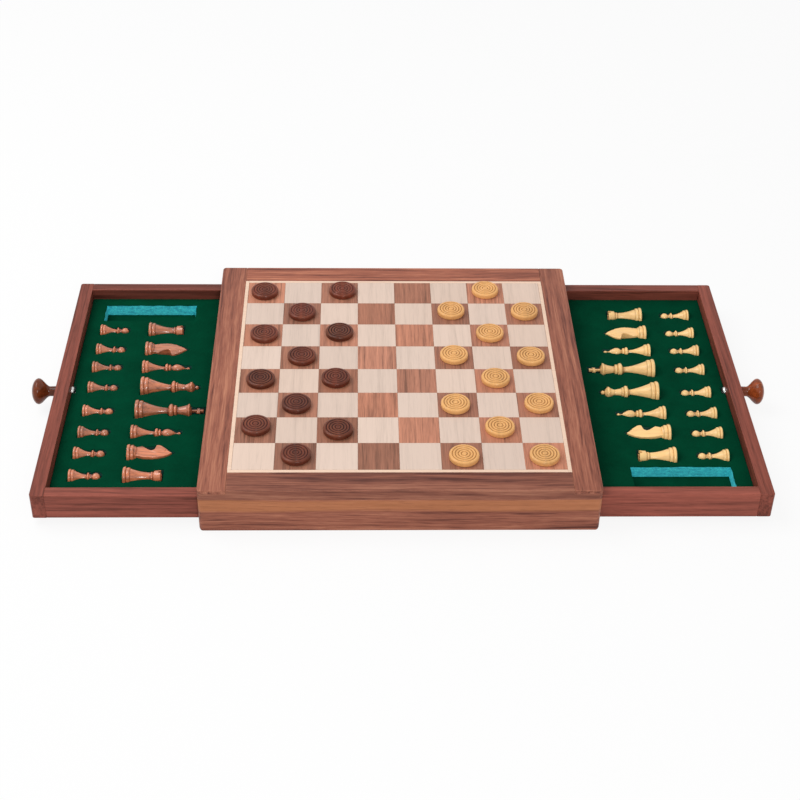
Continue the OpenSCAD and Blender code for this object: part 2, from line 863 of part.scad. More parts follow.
module dark_man(kind) {
    in_left_drawer() color(DARK_MAN) laid_men(kind, foot_d(kind)) children();
}

module light_man(kind) {
    in_right_drawer() color(LIGHT_MAN) laid_men(kind, foot_d(kind)) children();
}

dark_man("king") king();  // dark_king
dark_man("queen") queen();  // dark_queen
dark_man("bishop") bishop();  // dark_bishops
dark_man("knight") knight();  // dark_knights
dark_man("rook") rook();  // dark_rooks
in_left_drawer() color(DARK_MAN) laid_pawns() pawn();  // dark_pawns

light_man("king") king();  // light_king
light_man("queen") queen();  // light_queen
light_man("bishop") bishop();  // light_bishops
light_man("knight") knight();  // light_knights
light_man("rook") rook();  // light_rooks
in_right_drawer() color(LIGHT_MAN) laid_pawns() pawn();  // light_pawns

module fittings(kind) {
    color(FELT) laid_men(kind, foot_d(kind)) magnet_and_felt(foot_d(kind));
}

module pawn_fittings() {
    color(FELT) laid_pawns() magnet_and_felt(pawn_d);
}

in_left_drawer() fittings("king");  // dark_king_magnet_felt
in_left_drawer() fittings("queen");  // dark_queen_magnet_felt
in_left_drawer() fittings("bishop");  // dark_bishop_magnets_felts
in_left_drawer() fittings("knight");  // dark_knight_magnets_felts
in_left_drawer() fittings("rook");  // dark_rook_magnets_felts
in_left_drawer() pawn_fittings();  // dark_pawn_magnets_felts

in_right_drawer() fittings("king");  // light_king_magnet_felt
in_right_drawer() fittings("queen");  // light_queen_magnet_felt
in_right_drawer() fittings("bishop");  // light_bishop_magnets_felts
in_right_drawer() fittings("knight");  // light_knight_magnets_felts
in_right_drawer() fittings("rook");  // light_rook_magnets_felts
in_right_drawer() pawn_fittings();  // light_pawn_magnets_felts

color(DARK_DRAUGHT) on_squares(DARK_PLACES) draught();  // dark_draughts
color(LIGHT_DRAUGHT) on_squares(LIGHT_PLACES) draught();  // light_draughts
color(STEEL) on_squares(DARK_PLACES) draught_magnet();  // dark_draught_magnets
color(STEEL) on_squares(LIGHT_PLACES) draught_magnet();  // light_draught_magnets
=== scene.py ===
"""Finishes of a chess box with drawers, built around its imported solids.

The file is laid out as an add-on and run as a script. Lengths are in metres. X runs from left to
right, Y from front to back and Z up, with the origin at the middle of the case's underside.
"""

import json
import math
import random

import bmesh
import bpy
from mathutils import Euler, Matrix, Vector, noise


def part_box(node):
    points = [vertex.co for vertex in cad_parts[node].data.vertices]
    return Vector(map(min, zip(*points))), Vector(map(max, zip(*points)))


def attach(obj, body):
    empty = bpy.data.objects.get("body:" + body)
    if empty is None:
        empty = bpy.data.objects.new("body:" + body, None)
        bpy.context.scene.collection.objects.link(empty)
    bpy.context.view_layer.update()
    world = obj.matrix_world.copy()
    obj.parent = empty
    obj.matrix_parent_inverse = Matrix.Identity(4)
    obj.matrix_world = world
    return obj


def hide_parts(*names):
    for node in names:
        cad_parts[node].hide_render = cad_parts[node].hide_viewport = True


bl_info = {
    "name": "Chess box with drawers",
    "version": (1, 0, 0),
    "blender": (4, 5, 0),
    "location": "3D View > Sidebar > Chess box",
    "description": "Finishes a chess box with drawers, its chessmen and its draughts",
    "category": "Object",
}

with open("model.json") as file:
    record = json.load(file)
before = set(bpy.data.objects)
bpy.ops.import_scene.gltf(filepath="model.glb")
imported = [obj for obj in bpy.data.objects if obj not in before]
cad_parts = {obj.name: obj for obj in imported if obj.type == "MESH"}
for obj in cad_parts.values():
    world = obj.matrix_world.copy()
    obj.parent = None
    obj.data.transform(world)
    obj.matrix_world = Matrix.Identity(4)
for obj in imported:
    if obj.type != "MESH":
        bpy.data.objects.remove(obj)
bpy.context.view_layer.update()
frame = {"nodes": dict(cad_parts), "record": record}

MM = 0.001
WELD = 0.002 * MM  # vertices closer than this are one

OUTWARD = {"left": -1, "right": 1}  # the way along X in which each drawer opens
COLOURS = {"dark": "left", "light": "right"}  # which drawer holds the men of each colour

# Sizes that a node's box doesn't give
FELT_T = 0.5 * MM
KNIGHT_T = 7 * MM
KNOB_NECK_R = 4.1 * MM
SCREW_R, SCREW_HEAD_T = 2 * MM, 2.4 * MM
RING_PITCH = 2.3 * MM  # between the grooves in a draught
MAGNET_BORE_R, MAGNET_BORE_D = 4.05 * MM, 1.75 * MM

# Seeds of the random tones. The nodes' own seeds were picked for tones like those of the real box.
# The seed of left_drawer_back_side gives that board a dark tone, which is painted shade on its inner face.
SEEDS = {"case": 11, "drawers": 50, "screws": 75, "men": 100, "felts": 200, "draughts": 300, "spins": 7}
NODE_SEEDS = {
    "frame_rails": 206, "left_drawer_back_side": 206, "dark_squares": 8613, "light_squares": 32,
    "board_stringing": 33, "left_knob": 39, "right_knob": 74,
}


def paint(red, green, blue):
    """A colour as it looks on a screen, from 0 to 255, as the linear colour that a shader takes."""

    def linear(share):
        return share / 12.92 if share <= 0.04045 else ((share + 0.055) / 1.055) ** 2.4

    return tuple(linear(part / 255) for part in (red, green, blue))


def colour(name, description, default):
    return bpy.props.FloatVectorProperty(
        name=name, description=description, subtype="COLOR", size=3, min=0, max=1, default=paint(*default)
    )


def number(name, description, default, **limits):
    return bpy.props.FloatProperty(name=name, description=description, default=default, **limits)


def length(name, description, default, low, high):
    """A length in millimetres, kept in metres."""
    return number(name, description, default * MM, min=low * MM, max=high * MM, unit="LENGTH", precision=5)


def angle(name, description, default):
    return number(name, description, math.radians(default), subtype="ANGLE")


# ---- Settings ----


class ChessBoxWoods(bpy.types.PropertyGroup):
    walnut: colour("Walnut", "Body colour of the case", (152, 90, 70))
    walnut_dark: colour("Walnut, dark", "Late wood and streaks in the walnut", (92, 46, 36))
    walnut_light: colour("Walnut, light", "Palest streaks in the walnut", (190, 126, 98))
    sap_streak: colour("Sap streak", "Orange band along the front board", (190, 122, 76))
    drawer_walnut: colour("Drawer walnut", "Body colour of the drawers", (131, 69, 56))
    brown_square: colour("Dark squares", "Body colour of the dark squares", (174, 116, 92))
    maple: colour("Light squares", "Body colour of the light squares", (222, 198, 182))
    stringing: colour("Stringing", "Pale strips round the squares", (238, 206, 182))
    rosewood: colour("Dark chessmen", "Body colour of the dark chessmen", (190, 112, 76))
    boxwood: colour("Light chessmen", "Body colour of the light chessmen", (255, 206, 138))
    dark_draught: colour("Dark draughts", "Body colour of the dark draughts", (84, 36, 26))
    light_draught: colour("Light draughts", "Body colour of the light draughts", (227, 171, 108))
    knob: colour("Knobs", "Body colour of the knobs", (126, 58, 26))
    plywood: colour("Plywood", "Drawer bottoms and the core under the squares", (190, 150, 110))


class ChessBoxSoft(bpy.types.PropertyGroup):
    baize: colour("Baize", "Green flock on the trays and the drawers' floors", (0, 70, 46))
    foam: colour("Foam", "Teal foam of the trays", (60, 208, 226))
    felt: colour("Felt", "Felt under the chessmen", (16, 92, 62))
    lip: length("Lip", "Radius of the flocked edge round each cut-out", 0.35, 0.1, 0.5)
    wobble: length("Wobble", "How far the hand-cut edges wander", 0.12, 0, 0.3)
    slot_wobble: length("Slot wobble", "How far the draughts slot's edges wander", 0.55, 0, 1)


class ChessBoxEdges(bpy.types.PropertyGroup):
    board: length("Board edges", "Radius of the sanded edges of the boards", 0.5, 0.1, 1)
    square: length("Square edges", "Radius of the edges of the inlaid squares", 0.1, 0.02, 0.3)
    turning_steps: bpy.props.IntProperty(
        name="Turning steps", description="Flats round each turned piece", default=64, min=24, max=128
    )


class ChessBoxStudio(bpy.types.PropertyGroup):
    sky: number("Sky", "Strength of the even light all round", 0.5, min=0)
    key: number("Key lamp", "Power of the large lamp up on the left", 12.2, min=0, unit="POWER")
    fill: number("Front lamp", "Power of the lamp beside the camera", 10.5, min=0, unit="POWER")
    floor: colour("Floor", "Colour of the table top", (240, 240, 240))
    floor_glow: number("Floor glow", "How far the camera sees the floor lifted to white", 0.88, min=0, max=1)
    camera_place: bpy.props.FloatVectorProperty(
        name="Camera place", description="Where the camera stands", subtype="TRANSLATION",
        default=(-0.0325, -1.0399, 0.8134)
    )
    camera_pitch: angle("Camera pitch", "How far the camera looks down", 37.75)
    camera_yaw: angle("Camera yaw", "How far the camera turns to the left", -1.97)
    camera_roll: angle("Camera roll", "How far the camera leans", 1.215)
    focal_pixels: number("Focal length", "Focal length in pixels of the picture", 1573, min=100)


# ---- Shader nodes ----


def feed(tree, socket, value):
    """Sets an input, or links it where the value is another node's output."""
    if isinstance(value, bpy.types.NodeSocket):
        tree.links.new(value, socket)
    elif socket.type == "RGBA" and len(value) == 3:
        socket.default_value = (*value, 1)
    else:
        socket.default_value = value


def put(tree, kind, feeds=None, **settings):
    """Adds a node. feeds gives its inputs by name or number."""
    made = tree.nodes.new("ShaderNode" + kind)
    for name, value in settings.items():
        setattr(made, name, value)
    for name, value in (feeds or {}).items():
        feed(tree, made.inputs[name], value)
    return made


def calc(tree, operation, a, b=0.0, clamp=False):
    return put(tree, "Math", {0: a, 1: b}, operation=operation, use_clamp=clamp).outputs[0]


def times(tree, a, b):
    return calc(tree, "MULTIPLY", a, b)


def plus(tree, a, b, clamp=False):
    return calc(tree, "ADD", a, b, clamp)


def scaled(tree, value, by, more):
    return put(tree, "Math", {0: value, 1: by, 2: more}, operation="MULTIPLY_ADD").outputs[0]


def vector_times(tree, a, b):
    return put(tree, "VectorMath", {0: a, 1: b}, operation="MULTIPLY").outputs["Vector"]


def vector_plus(tree, a, b):
    return put(tree, "VectorMath", {0: a, 1: b}, operation="ADD").outputs["Vector"]


def here_in(tree):
    """The place on the piece, in metres."""
    return put(tree, "TexCoord").outputs["Object"]


def part_of(tree, vector, axis):
    return put(tree, "SeparateXYZ", {0: vector}).outputs[axis]


def mixed(tree, share, a, b, blend="MIX"):
    made = put(tree, "Mix", data_type="RGBA", blend_type=blend)
    for index, value in ((0, share), (6, a), (7, b)):
        feed(tree, made.inputs[index], value)
    return made.outputs[2]


def spread(tree, value, low, high, to_low=0.0, to_high=1.0):
    feeds = {"Value": value, "From Min": low, "From Max": high, "To Min": to_low, "To Max": to_high}
    return put(tree, "MapRange", feeds).outputs[0]


def clouds(tree, place, scale, detail=2.0, roughness=0.5):
    """Noise around 0, from about -0.5 to 0.5."""
    made = put(tree, "TexNoise", {"Vector": place, "Scale": scale, "Detail": detail, "Roughness": roughness})
    return calc(tree, "SUBTRACT", made.outputs[0], 0.5)


def stretched_clouds(tree, place, scales, detail, roughness=0.5):
    """Noise with a scale of its own along each axis."""
    return clouds(tree, vector_times(tree, place, scales), 1, detail, roughness)


def ramp(tree, value, stops):
    made = put(tree, "ValToRGB", {0: value})
    elements = made.color_ramp.elements
    while len(elements) < len(stops):
        elements.new(0.5)
    for element, (position, tint) in zip(elements, stops):
        element.position = position
        element.color = (*tint, 1)
    return made.outputs[0]


def group(name, inputs, outputs, build):
    """Makes a shader node group. inputs and outputs give each socket's kind and default by its name."""
    tree = bpy.data.node_groups.new(name, "ShaderNodeTree")
    for socket, (kind, default) in inputs.items():
        made = tree.interface.new_socket(name=socket, in_out="INPUT", socket_type="NodeSocket" + kind)
        if default is not None:
            made.default_value = default
    for socket, kind in outputs.items():
        tree.interface.new_socket(name=socket, in_out="OUTPUT", socket_type="NodeSocket" + kind)
    given = tree.nodes.new("NodeGroupInput")
    taken = tree.nodes.new("NodeGroupOutput")
    for socket, value in build(tree, given.outputs).items():
        feed(tree, taken.inputs[socket], value)
    return tree


def group_once(name, *definition):
    return bpy.data.node_groups.get(name) or group(name, *definition)


def grain_nodes(tree, given):
    """Long streaks that wander, broad flames, faint growth rings, thin dark lines, fibres and open pores."""
    place = given["Along the grain"]
    sway = times(tree, stretched_clouds(tree, place, (5, 14, 14), 2), given["Figure"])
    swayed = vector_plus(tree, place, put(tree, "CombineXYZ", {1: sway, 2: sway}).outputs[0])
    flames = stretched_clouds(tree, swayed, (3.5, 60, 60), 3, 0.55)
    streaks = stretched_clouds(tree, swayed, (9, 330, 330), 4, 0.62)
    fibres = stretched_clouds(tree, swayed, (70, 1500, 1500), 2)
    dashes = stretched_clouds(tree, swayed, (90, 1700, 1700), 1)
    pores = spread(tree, dashes, 0.12, 0.2)
    lines = spread(tree, stretched_clouds(tree, swayed, (14, 520, 520), 2), 0.06, 0.22)
    across = put(tree, "SeparateXYZ", {0: swayed}).outputs
    slant = plus(tree, across[1], times(tree, across[2], 0.4))
    turns = calc(tree, "DIVIDE", plus(tree, slant, times(tree, flames, 0.03)), given["Ring width"])
    rings = times(tree, calc(tree, "SINE", times(tree, turns, 2 * math.pi)), given["Rings"])
    broad = plus(tree, rings, times(tree, flames, given["Flames"]))
    fine = plus(tree, times(tree, streaks, given["Streaks"]), times(tree, fibres, given["Fibres"]))
    lined = calc(tree, "SUBTRACT", fine, times(tree, lines, given["Lines"]))
    tone = plus(tree, plus(tree, broad, lined), 0.5, clamp=True)
    height = calc(tree, "SUBTRACT", plus(tree, fibres, times(tree, tone, 0.4)), pores)
    return {"Tone": tone, "Pores": pores, "Height": height}


def grain_group():
    amounts = {"Figure": 10 * MM, "Flames": 0.6, "Streaks": 0.9, "Fibres": 0.5, "Rings": 0.04,
               "Ring width": 8 * MM, "Lines": 0.2}
    inputs = {"Along the grain": ("Vector", None)}
    inputs |= {name: ("Float", value) for name, value in amounts.items()}
    outputs = {"Tone": "Float", "Pores": "Float", "Height": "Float"}
    return group_once("Wood grain", inputs, outputs, grain_nodes)


def mark(tree, name, output="Fac"):
    """What the mesh says at its points or faces."""
    return put(tree, "Attribute", attribute_name=name, attribute_type="GEOMETRY").outputs[output]


def nap_nodes(tree, given):
    """Short fibres that lie in brushed patches."""
    place = given["Place"]
    patches = clouds(tree, place, 45, 3, 0.6)
    fuzz = clouds(tree, place, given["Fibre scale"], 2, 0.7)
    tufts = clouds(tree, vector_times(tree, place, (1, 0.35, 1)), 700, 2, 0.6)
    tone = plus(tree, times(tree, patches, 0.7), scaled(tree, fuzz, 0.6, 0.5))
    return {"Tone": tone, "Height": plus(tree, fuzz, tufts)}


def nap_group():
    inputs = {"Place": ("Vector", None), "Fibre scale": ("Float", 1800.0)}
    return group_once("Nap", inputs, {"Tone": "Float", "Height": "Float"}, nap_nodes)


def shading_and_wear_nodes(tree, given):
    """Paler sanded edges, partly from rubbing and partly a painted highlight; darker creases, which are
    painted shade; and fine dust in broad patches.
    """
    edge, crease = mark(tree, "edge"), mark(tree, "crease")
    edge_wear_and_glint = spread(tree, clouds(tree, given["Place"], 60, 3, 0.6), -0.2, 0.25, 0.25, 1.0)
    dust = spread(tree, clouds(tree, given["Place"], 9, 4, 0.6), -0.05, 0.3)
    return {"Edge": times(tree, edge, edge_wear_and_glint), "Crease shade": crease, "Dust": dust}


def shading_and_wear_group():
    outputs = {"Edge": "Float", "Crease shade": "Float", "Dust": "Float"}
    return group_once("Edge rubbing and painted light", {"Place": ("Vector", None)}, outputs, shading_and_wear_nodes)


def new_material(name):
    """A material with only a Principled BSDF and its output."""
    material = bpy.data.materials.new(name)
    material.use_nodes = True
    tree = material.node_tree
    tree.nodes.clear()
    shader = put(tree, "BsdfPrincipled")
    put(tree, "OutputMaterial", {"Surface": shader.outputs[0]})
    return material, tree, shader


def piece_numbers(tree):
    """Three random numbers, from 0 to 1, that differ from solid to solid."""
    return mark(tree, "piece_random", "Vector")


def grain_place(tree, turn, apart=0.7):
    """The place on the piece with X along the grain, moved apart from solid to solid."""
    moved = vector_plus(tree, here_in(tree), vector_times(tree, piece_numbers(tree), (apart,) * 3))
    return put(tree, "Mapping", {"Vector": moved, "Rotation": (0, 0, turn)}).outputs[0]


def finish_shader(tree, shader, tint, roughness, bump, **values):
    """Sets a shader's inputs. bump is (strength, depth, height), and values are given by input."""
    strength, depth, height = bump
    feed(tree, shader.inputs["Base Color"], tint)
    feed(tree, shader.inputs["Roughness"], roughness)
    made = put(tree, "Bump", {"Strength": strength, "Distance": depth, "Height": height})
    feed(tree, shader.inputs["Normal"], made.outputs[0])
    for name, value in values.items():
        feed(tree, shader.inputs[name], value)


ALONG_X = 0.0
ALONG_Y = math.radians(90)


def wood(name, body, dark, light, turn=ALONG_X, figure=10, flames=0.9, streaks=1.4, fibres=0.6,
         lines=0.3, variety=0.1, warm=0.3, pores=0.3, gloss=0.0, shine=0.22, rough=0.42, relief=0.05,
         edge=0.35, worn=None, crease=0.7, band=None, apart=0.7):
    """Lacquered wood.

    figure is how far the grain sways, in millimetres. variety is how much the tone differs from solid
    to solid, and warm is the part of that which goes to its warmth. The edge colour argument gives
    the paler edges, which are partly rubbing of the wood and partly a painted highlight; edge says how
    far. Creases darken as painted shade.
    band is a paler streak, as its lowest height, its highest one and its colour. apart moves the grain
    from solid to solid.
    """
    material, tree, shader = new_material(name)
    grain = put(tree, "Group", {
        "Along the grain": grain_place(tree, turn, apart), "Figure": figure * MM, "Flames": flames,
        "Streaks": streaks, "Fibres": fibres, "Lines": lines,
    }, node_tree=grain_group())
    here = here_in(tree)
    shading_and_wear = put(tree, "Group", {"Place": here}, node_tree=shading_and_wear_group())
    tint = ramp(tree, grain.outputs["Tone"], [(0.1, dark), (0.5, body), (0.92, light)])
    if band:
        tint = banded(tree, tint, here, *band)
    numbers = put(tree, "SeparateXYZ", {0: piece_numbers(tree)}).outputs
    level = spread(tree, numbers[0], 0.0, 1.0, 1 - variety, 1 + variety)
    warmth = spread(tree, numbers[1], 0.0, 1.0, 1 - variety * warm, 1 + variety * warm)
    gain = {0: times(tree, level, warmth), 1: level, 2: calc(tree, "DIVIDE", level, warmth)}
    tint = mixed(tree, 1.0, tint, put(tree, "CombineColor", gain).outputs[0], "MULTIPLY")
    tint = mixed(tree, times(tree, grain.outputs["Pores"], pores), tint, dark)
    # Paler edges: rubbing of the wood and a painted highlight.
    tint = mixed(tree, times(tree, shading_and_wear.outputs["Edge"], edge), tint, worn or light)
    # Creases darken towards a deeper tone: painted shade.
    darkened_in_shade = mixed(tree, 1.0, tint, tuple(0.4 * part ** 0.5 for part in body), "MULTIPLY")
    tint = mixed(tree, times(tree, shading_and_wear.outputs["Crease shade"], crease), tint, darkened_in_shade)
    glossy_tone = times(tree, grain.outputs["Tone"], -0.1)
    dusty = times(tree, shading_and_wear.outputs["Dust"], 0.08)
    roughness = plus(tree, plus(tree, glossy_tone, dusty), rough)
    finish_shader(tree, shader, tint, roughness, (relief, 0.3 * MM, grain.outputs["Height"]),
                  **{"Coat Weight": gloss, "Coat Roughness": 0.12, "Specular IOR Level": shine})
    return material


def banded(tree, tint, here, low, high, streak):
    """A paler streak between two heights, with wavering edges."""
    wavy = times(tree, stretched_clouds(tree, here, (9, 1, 60), 3), 7 * MM)
    level = plus(tree, part_of(tree, here, 2), wavy)
    rise = spread(tree, level, low, low + 3 * MM)
    fall = spread(tree, level, high, high + 2 * MM, 1.0, 0.0)
    return mixed(tree, times(tree, times(tree, rise, fall), 0.6), tint, streak)


def flock(name, tint, dark, sheen, fibre_scale):
    """Flocked baize or felt. dark is the share of the colour that is left between its patches."""
    material, tree, shader = new_material(name)
    nap = put(tree, "Group", {"Place": here_in(tree), "Fibre scale": fibre_scale}, node_tree=nap_group())
    tone = ramp(tree, nap.outputs["Tone"], [(0.2, dimmed(tint, dark)), (0.8, tint)])
    nap_look = {
        "Specular IOR Level": 0.03, "Sheen Weight": sheen, "Sheen Roughness": 0.5, "Sheen Tint": tint,
    }
    finish_shader(tree, shader, tone, 0.95, (0.6, 0.25 * MM, nap.outputs["Height"]), **nap_look)
    return material


def foam_material(name, tint, painted_shade):
    """Open-cell foam. It keeps its bright colour in the draughts slot; everywhere else it takes a dark
    colour, which is painted shade in the cut-outs round the men.
    """
    material, tree, shader = new_material(name)
    here = here_in(tree)
    cells = put(tree, "TexVoronoi", {"Vector": here, "Scale": 1400.0}, feature="F1").outputs["Distance"]
    rough_cut = stretched_clouds(tree, here, (220, 220, 420), 3, 0.6)
    tone = plus(tree, times(tree, cells, 0.5), scaled(tree, rough_cut, 1.1, 0.35))
    pale = tuple(min(1.0, part * 1.5 + 0.03) for part in tint)
    bright = ramp(tree, tone, [(0.15, dimmed(tint, 0.45)), (0.5, tint), (0.9, pale)])
    axes = put(tree, "SeparateXYZ", {0: here}).outputs
    # The left drawer's slot lies at the back and the right one's in front: at the low end of this
    end_to_end = times(tree, axes[1], calc(tree, "SIGN", axes[0]))
    slot_edge = -97 * MM
    at_slot = spread(tree, end_to_end, slot_edge - 1 * MM, slot_edge + 1 * MM, 1.0, 0.0)
    bump = (0.8, 0.4 * MM, plus(tree, cells, rough_cut))
    # Away from the slot the foam takes the dark colour, which is painted shade in the cut-outs.
    finish_shader(tree, shader, mixed(tree, at_slot, painted_shade, bright), 0.9, bump)
    return material


def metal(name, tint):
    """Zinc-plated steel with faint turning marks."""
    material, tree, shader = new_material(name)
    here = here_in(tree)
    marks = stretched_clouds(tree, here, (500, 3000, 3000), 2)
    spots = clouds(tree, here, 180, 3)
    shade = plus(tree, times(tree, marks, 0.3), times(tree, spots, 0.5))
    tone = ramp(tree, plus(tree, shade, 0.5), [(0.3, dimmed(tint, 0.75)), (0.6, tint)])
    roughness = plus(tree, times(tree, spots, 0.3), 0.3)
    finish_shader(tree, shader, tone, roughness, (0.1, 0.05 * MM, marks), Metallic=1.0)
    return material


def plywood(name, tint):
    """Birch plywood: pale faces, with its plies showing on the edges."""
    material, tree, shader = new_material(name)
    grain = put(tree, "Group", {
        "Along the grain": grain_place(tree, ALONG_X), "Figure": 20 * MM, "Flames": 0.8, "Streaks": 0.8,
    }, node_tree=grain_group())
    ply_t = 1.4 * MM
    plies = calc(tree, "SINE", times(tree, part_of(tree, here_in(tree), 2), 2 * math.pi / ply_t))
    facing = part_of(tree, put(tree, "TexCoord").outputs["Normal"], 2)
    side = calc(tree, "SUBTRACT", 1.0, calc(tree, "ABSOLUTE", facing))
    lines = times(tree, times(tree, plies, side), 0.3)
    tone = plus(tree, grain.outputs["Tone"], lines, clamp=True)
    body, deep, pale = shades(tint, 0.6, 1.25)
    colours = ramp(tree, tone, [(0.1, deep), (0.5, body), (0.9, pale)])
    finish_shader(tree, shader, colours, 0.7, (0.15, 0.2 * MM, grain.outputs["Height"]))
    return material


def dimmed(tint, share):
    return tuple(part * share for part in tint)


def shades(tint, dark, light):
    """A body colour with a darker and a lighter one, as wood() takes them."""
    return tuple(tint), dimmed(tint, dark), tuple(min(1.0, part * light) for part in tint)


def material_once(name, make, *values, **settings):
    return bpy.data.materials.get(name) or make(name, *values, **settings)


def walnut(kind, turn, **settings):
    woods = bpy.context.scene.chess_box_woods
    tones = (tuple(woods.walnut), tuple(woods.walnut_dark), tuple(woods.walnut_light))
    if kind == "drawer":
        tones = shades(woods.drawer_walnut, 0.45, 1.5)
    way = "along" if turn == ALONG_X else "across"
    return material_once(f"Walnut {kind} {way}", wood, *tones, turn=turn, **settings)


def birch():
    return material_once("Birch plywood", plywood, tuple(bpy.context.scene.chess_box_woods.plywood))


def steel():
    return material_once("Zinc-plated steel", metal, (0.62, 0.62, 0.6))


# ---- Mesh helpers ----


def welded(node):
    """A CAD node's shape, with its vertices joined."""
    bm = bmesh.new()
    bm.from_mesh(frame["nodes"][node].data)
    bmesh.ops.remove_doubles(bm, verts=bm.verts, dist=WELD)
    return bm


def islands(bm):
    """The vertices of each separate solid."""
    seen, found = set(), []
    for start in bm.verts:
        if start in seen:
            continue
        seen.add(start)
        members, waiting = [], [start]
        while waiting:
            vertex = waiting.pop()
            members.append(vertex)
            for edge in vertex.link_edges:
                other = edge.other_vert(vertex)
                if other not in seen:
                    seen.add(other)
                    waiting.append(other)
        found.append(members)
    return found


def solid_boxes(node):
    """Lowest and highest corner of each separate solid of a CAD node, from front to back."""
    bm = welded(node)
    boxes = []
    for members in islands(bm):
        axes = list(zip(*(vertex.co for vertex in members)))
        boxes.append((Vector(map(min, axes)), Vector(map(max, axes))))
    bm.free()
    return sorted(boxes, key=lambda box: (round(box[0].y, 4), round(box[0].x, 4)))


def number_solids(bm, seed):
    """Gives every vertex of a solid the same three random numbers."""
    layer = bm.verts.layers.float_vector.new("piece_random")
    dice = random.Random(seed)
    for members in islands(bm):
        numbers = Vector((dice.random(), dice.random(), dice.random()))
        for vertex in members:
            vertex[layer] = numbers


def mesh_of(bm, name):
    """Turns a shape into a mesh and frees it."""
    mesh = bpy.data.meshes.new(name)
    bm.to_mesh(mesh)
    bm.free()
    return mesh


def add_shape(bm, shape):
    """Adds a shape to another one and frees it."""
    mesh = mesh_of(shape, "added")
    bm.from_mesh(mesh)
    bpy.data.meshes.remove(mesh)


def steps_round(ring):
    """Each point of a closed ring with the next one."""
    return list(zip(ring, ring[1:] + ring[:1]))


def join_rings(bm, near, far):
    """A band of faces between two closed rings of as many vertices."""
    for (a, b), (d, c) in zip(steps_round(near), steps_round(far)):
        bm.faces.new((a, b, c, d))


def add_object(name, data):
    made = bpy.data.objects.new(name, data)
    bpy.context.scene.collection.objects.link(made)
    return made


def place_piece(name, bm, node, *materials):
    """Shows a shape in a CAD node's place, riding on that node's body."""
    bmesh.ops.recalc_face_normals(bm, faces=bm.faces)
    mesh = mesh_of(bm, name)
    mesh.shade_smooth()
    mesh.set_sharp_from_angle(angle=math.radians(40))
    for material in materials:
        mesh.materials.append(material)
    piece = add_object(name, mesh)
    body, slot = body_of(node), slot_of(node)
    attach(piece, body)
    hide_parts(node)
    return piece


def body_of(node):
    for body, members in frame["record"]["behaviour"]["bodies"].items():
        if node in members:
            return body
    raise ValueError(f"no body holds {node}")


def slot_of(node):
    for part in frame["record"]["subparts"]:
        if part["node"] == node:
            return part["material_slot"]
    raise ValueError(f"no material slot for {node}")


def sanded(node, work, radius, material, seed=None, steps=3):
    """A board: the CAD node's own shape with its edges rounded. work ends the piece's name."""
    bm = welded(node)
    bmesh.ops.dissolve_limit(bm, angle_limit=math.radians(0.5), verts=bm.verts, edges=bm.edges)
    edge_wear_and_glint = bm.faces.layers.float.new("edge")
    edges = [e for e in bm.edges if len(e.link_faces) == 2 and e.calc_face_angle() > math.radians(30)]
    made = bmesh.ops.bevel(
        bm, geom=edges, offset=radius, segments=steps, profile=0.5, affect="EDGES", clamp_overlap=True
    )
    # The rounded faces are marked as edges, which the material makes paler: rubbing and a painted highlight.
    for face in made["faces"]:
        face[edge_wear_and_glint] = 1.0
    number_solids(bm, NODE_SEEDS.get(node, seed))
    piece = place_piece(f"{node}_{work}", bm, node, material)
    piece.modifiers.new("Even shading", "WEIGHTED_NORMAL").keep_sharp = True


def finished_node(node, material):
    """A CAD node that is shown as it is, in a better material."""
    mesh = frame["nodes"][node].data
    mesh.materials.clear()
    mesh.materials.append(material)


# ---- Outlines of turned work, as (height, radius) points ----


def cove(z0, r0, z1, r1, bend=1.8, steps=12):
    """A sweep whose radius changes most at its foot where bend is over 1, and at its top where under 1."""
    return [(z0 + (z1 - z0) * i / steps, r1 + (r0 - r1) * (1 - i / steps) ** bend) for i in range(steps + 1)]


def bead(z0, z1, r, swell, steps=6):
    """A half-round moulding between two heights."""
    middle, half = (z0 + z1) / 2, (z1 - z0) / 2
    angles = [math.pi * i / steps for i in range(steps + 1)]
    return [(middle - half * math.cos(a), r - swell + swell * math.sin(a)) for a in angles]


def ball(top, r, start, steps=10):
    """A ball up to its top, from an angle in degrees from its foot end."""
    angles = [math.radians(start + (180 - start) * i / steps) for i in range(steps + 1)]
    return [(top + r * (math.cos(angles[-1]) - math.cos(a)), r * math.sin(a)) for a in angles]


def foot(r):
    """The foot that all the men share: a rim with a ring over it."""
    return (
        [(FELT_T, 0), (FELT_T, r * 0.93)]
        + bead(FELT_T + 0.01 * r, r * 0.33, r, r * 0.06)
        + [(r * 0.36, r * 0.86)]
        + bead(r * 0.38, r * 0.69, r * 0.92, r * 0.05)
        + [(r * 0.72, r * 0.83), (r * 0.76, r * 0.8)]
    )


def king_outline(h, r):
    return (
        foot(r)
        + cove(r * 0.8, r * 0.79, h * 0.47, r * 0.28, 1.6)
        + bead(h * 0.498, h * 0.56, r * 0.63, r * 0.16)
        + bead(h * 0.566, h * 0.61, r * 0.52, r * 0.12)
        + [(h * 0.618, r * 0.36)]
        + cove(h * 0.634, r * 0.34, h * 0.775, r * 0.6, 0.6)
        + bead(h * 0.777, h * 0.803, r * 0.63, r * 0.05)
        + cove(h * 0.805, r * 0.52, h * 0.832, r * 0.14, 0.8)
        + [(h * 0.836, 0)]
    )


def queen_outline(h, r):
    return (
        foot(r)
        + cove(r * 0.8, r * 0.79, h * 0.51, r * 0.27, 1.4)
        + bead(h * 0.538, h * 0.602, r * 0.61, r * 0.15)
        + bead(h * 0.608, h * 0.637, r * 0.48, r * 0.06, 4)
        + cove(h * 0.648, r * 0.38, h * 0.765, r * 0.27, 1.3)
        + cove(h * 0.77, r * 0.275, h * 0.852, r * 0.49, 0.6)
        + bead(h * 0.853, h * 0.893, r * 0.52, r * 0.05, 4)
        + cove(h * 0.895, r * 0.45, h * 0.935, r * 0.14, 0.7)
        + ball(h, r * 0.17, 50)
    )


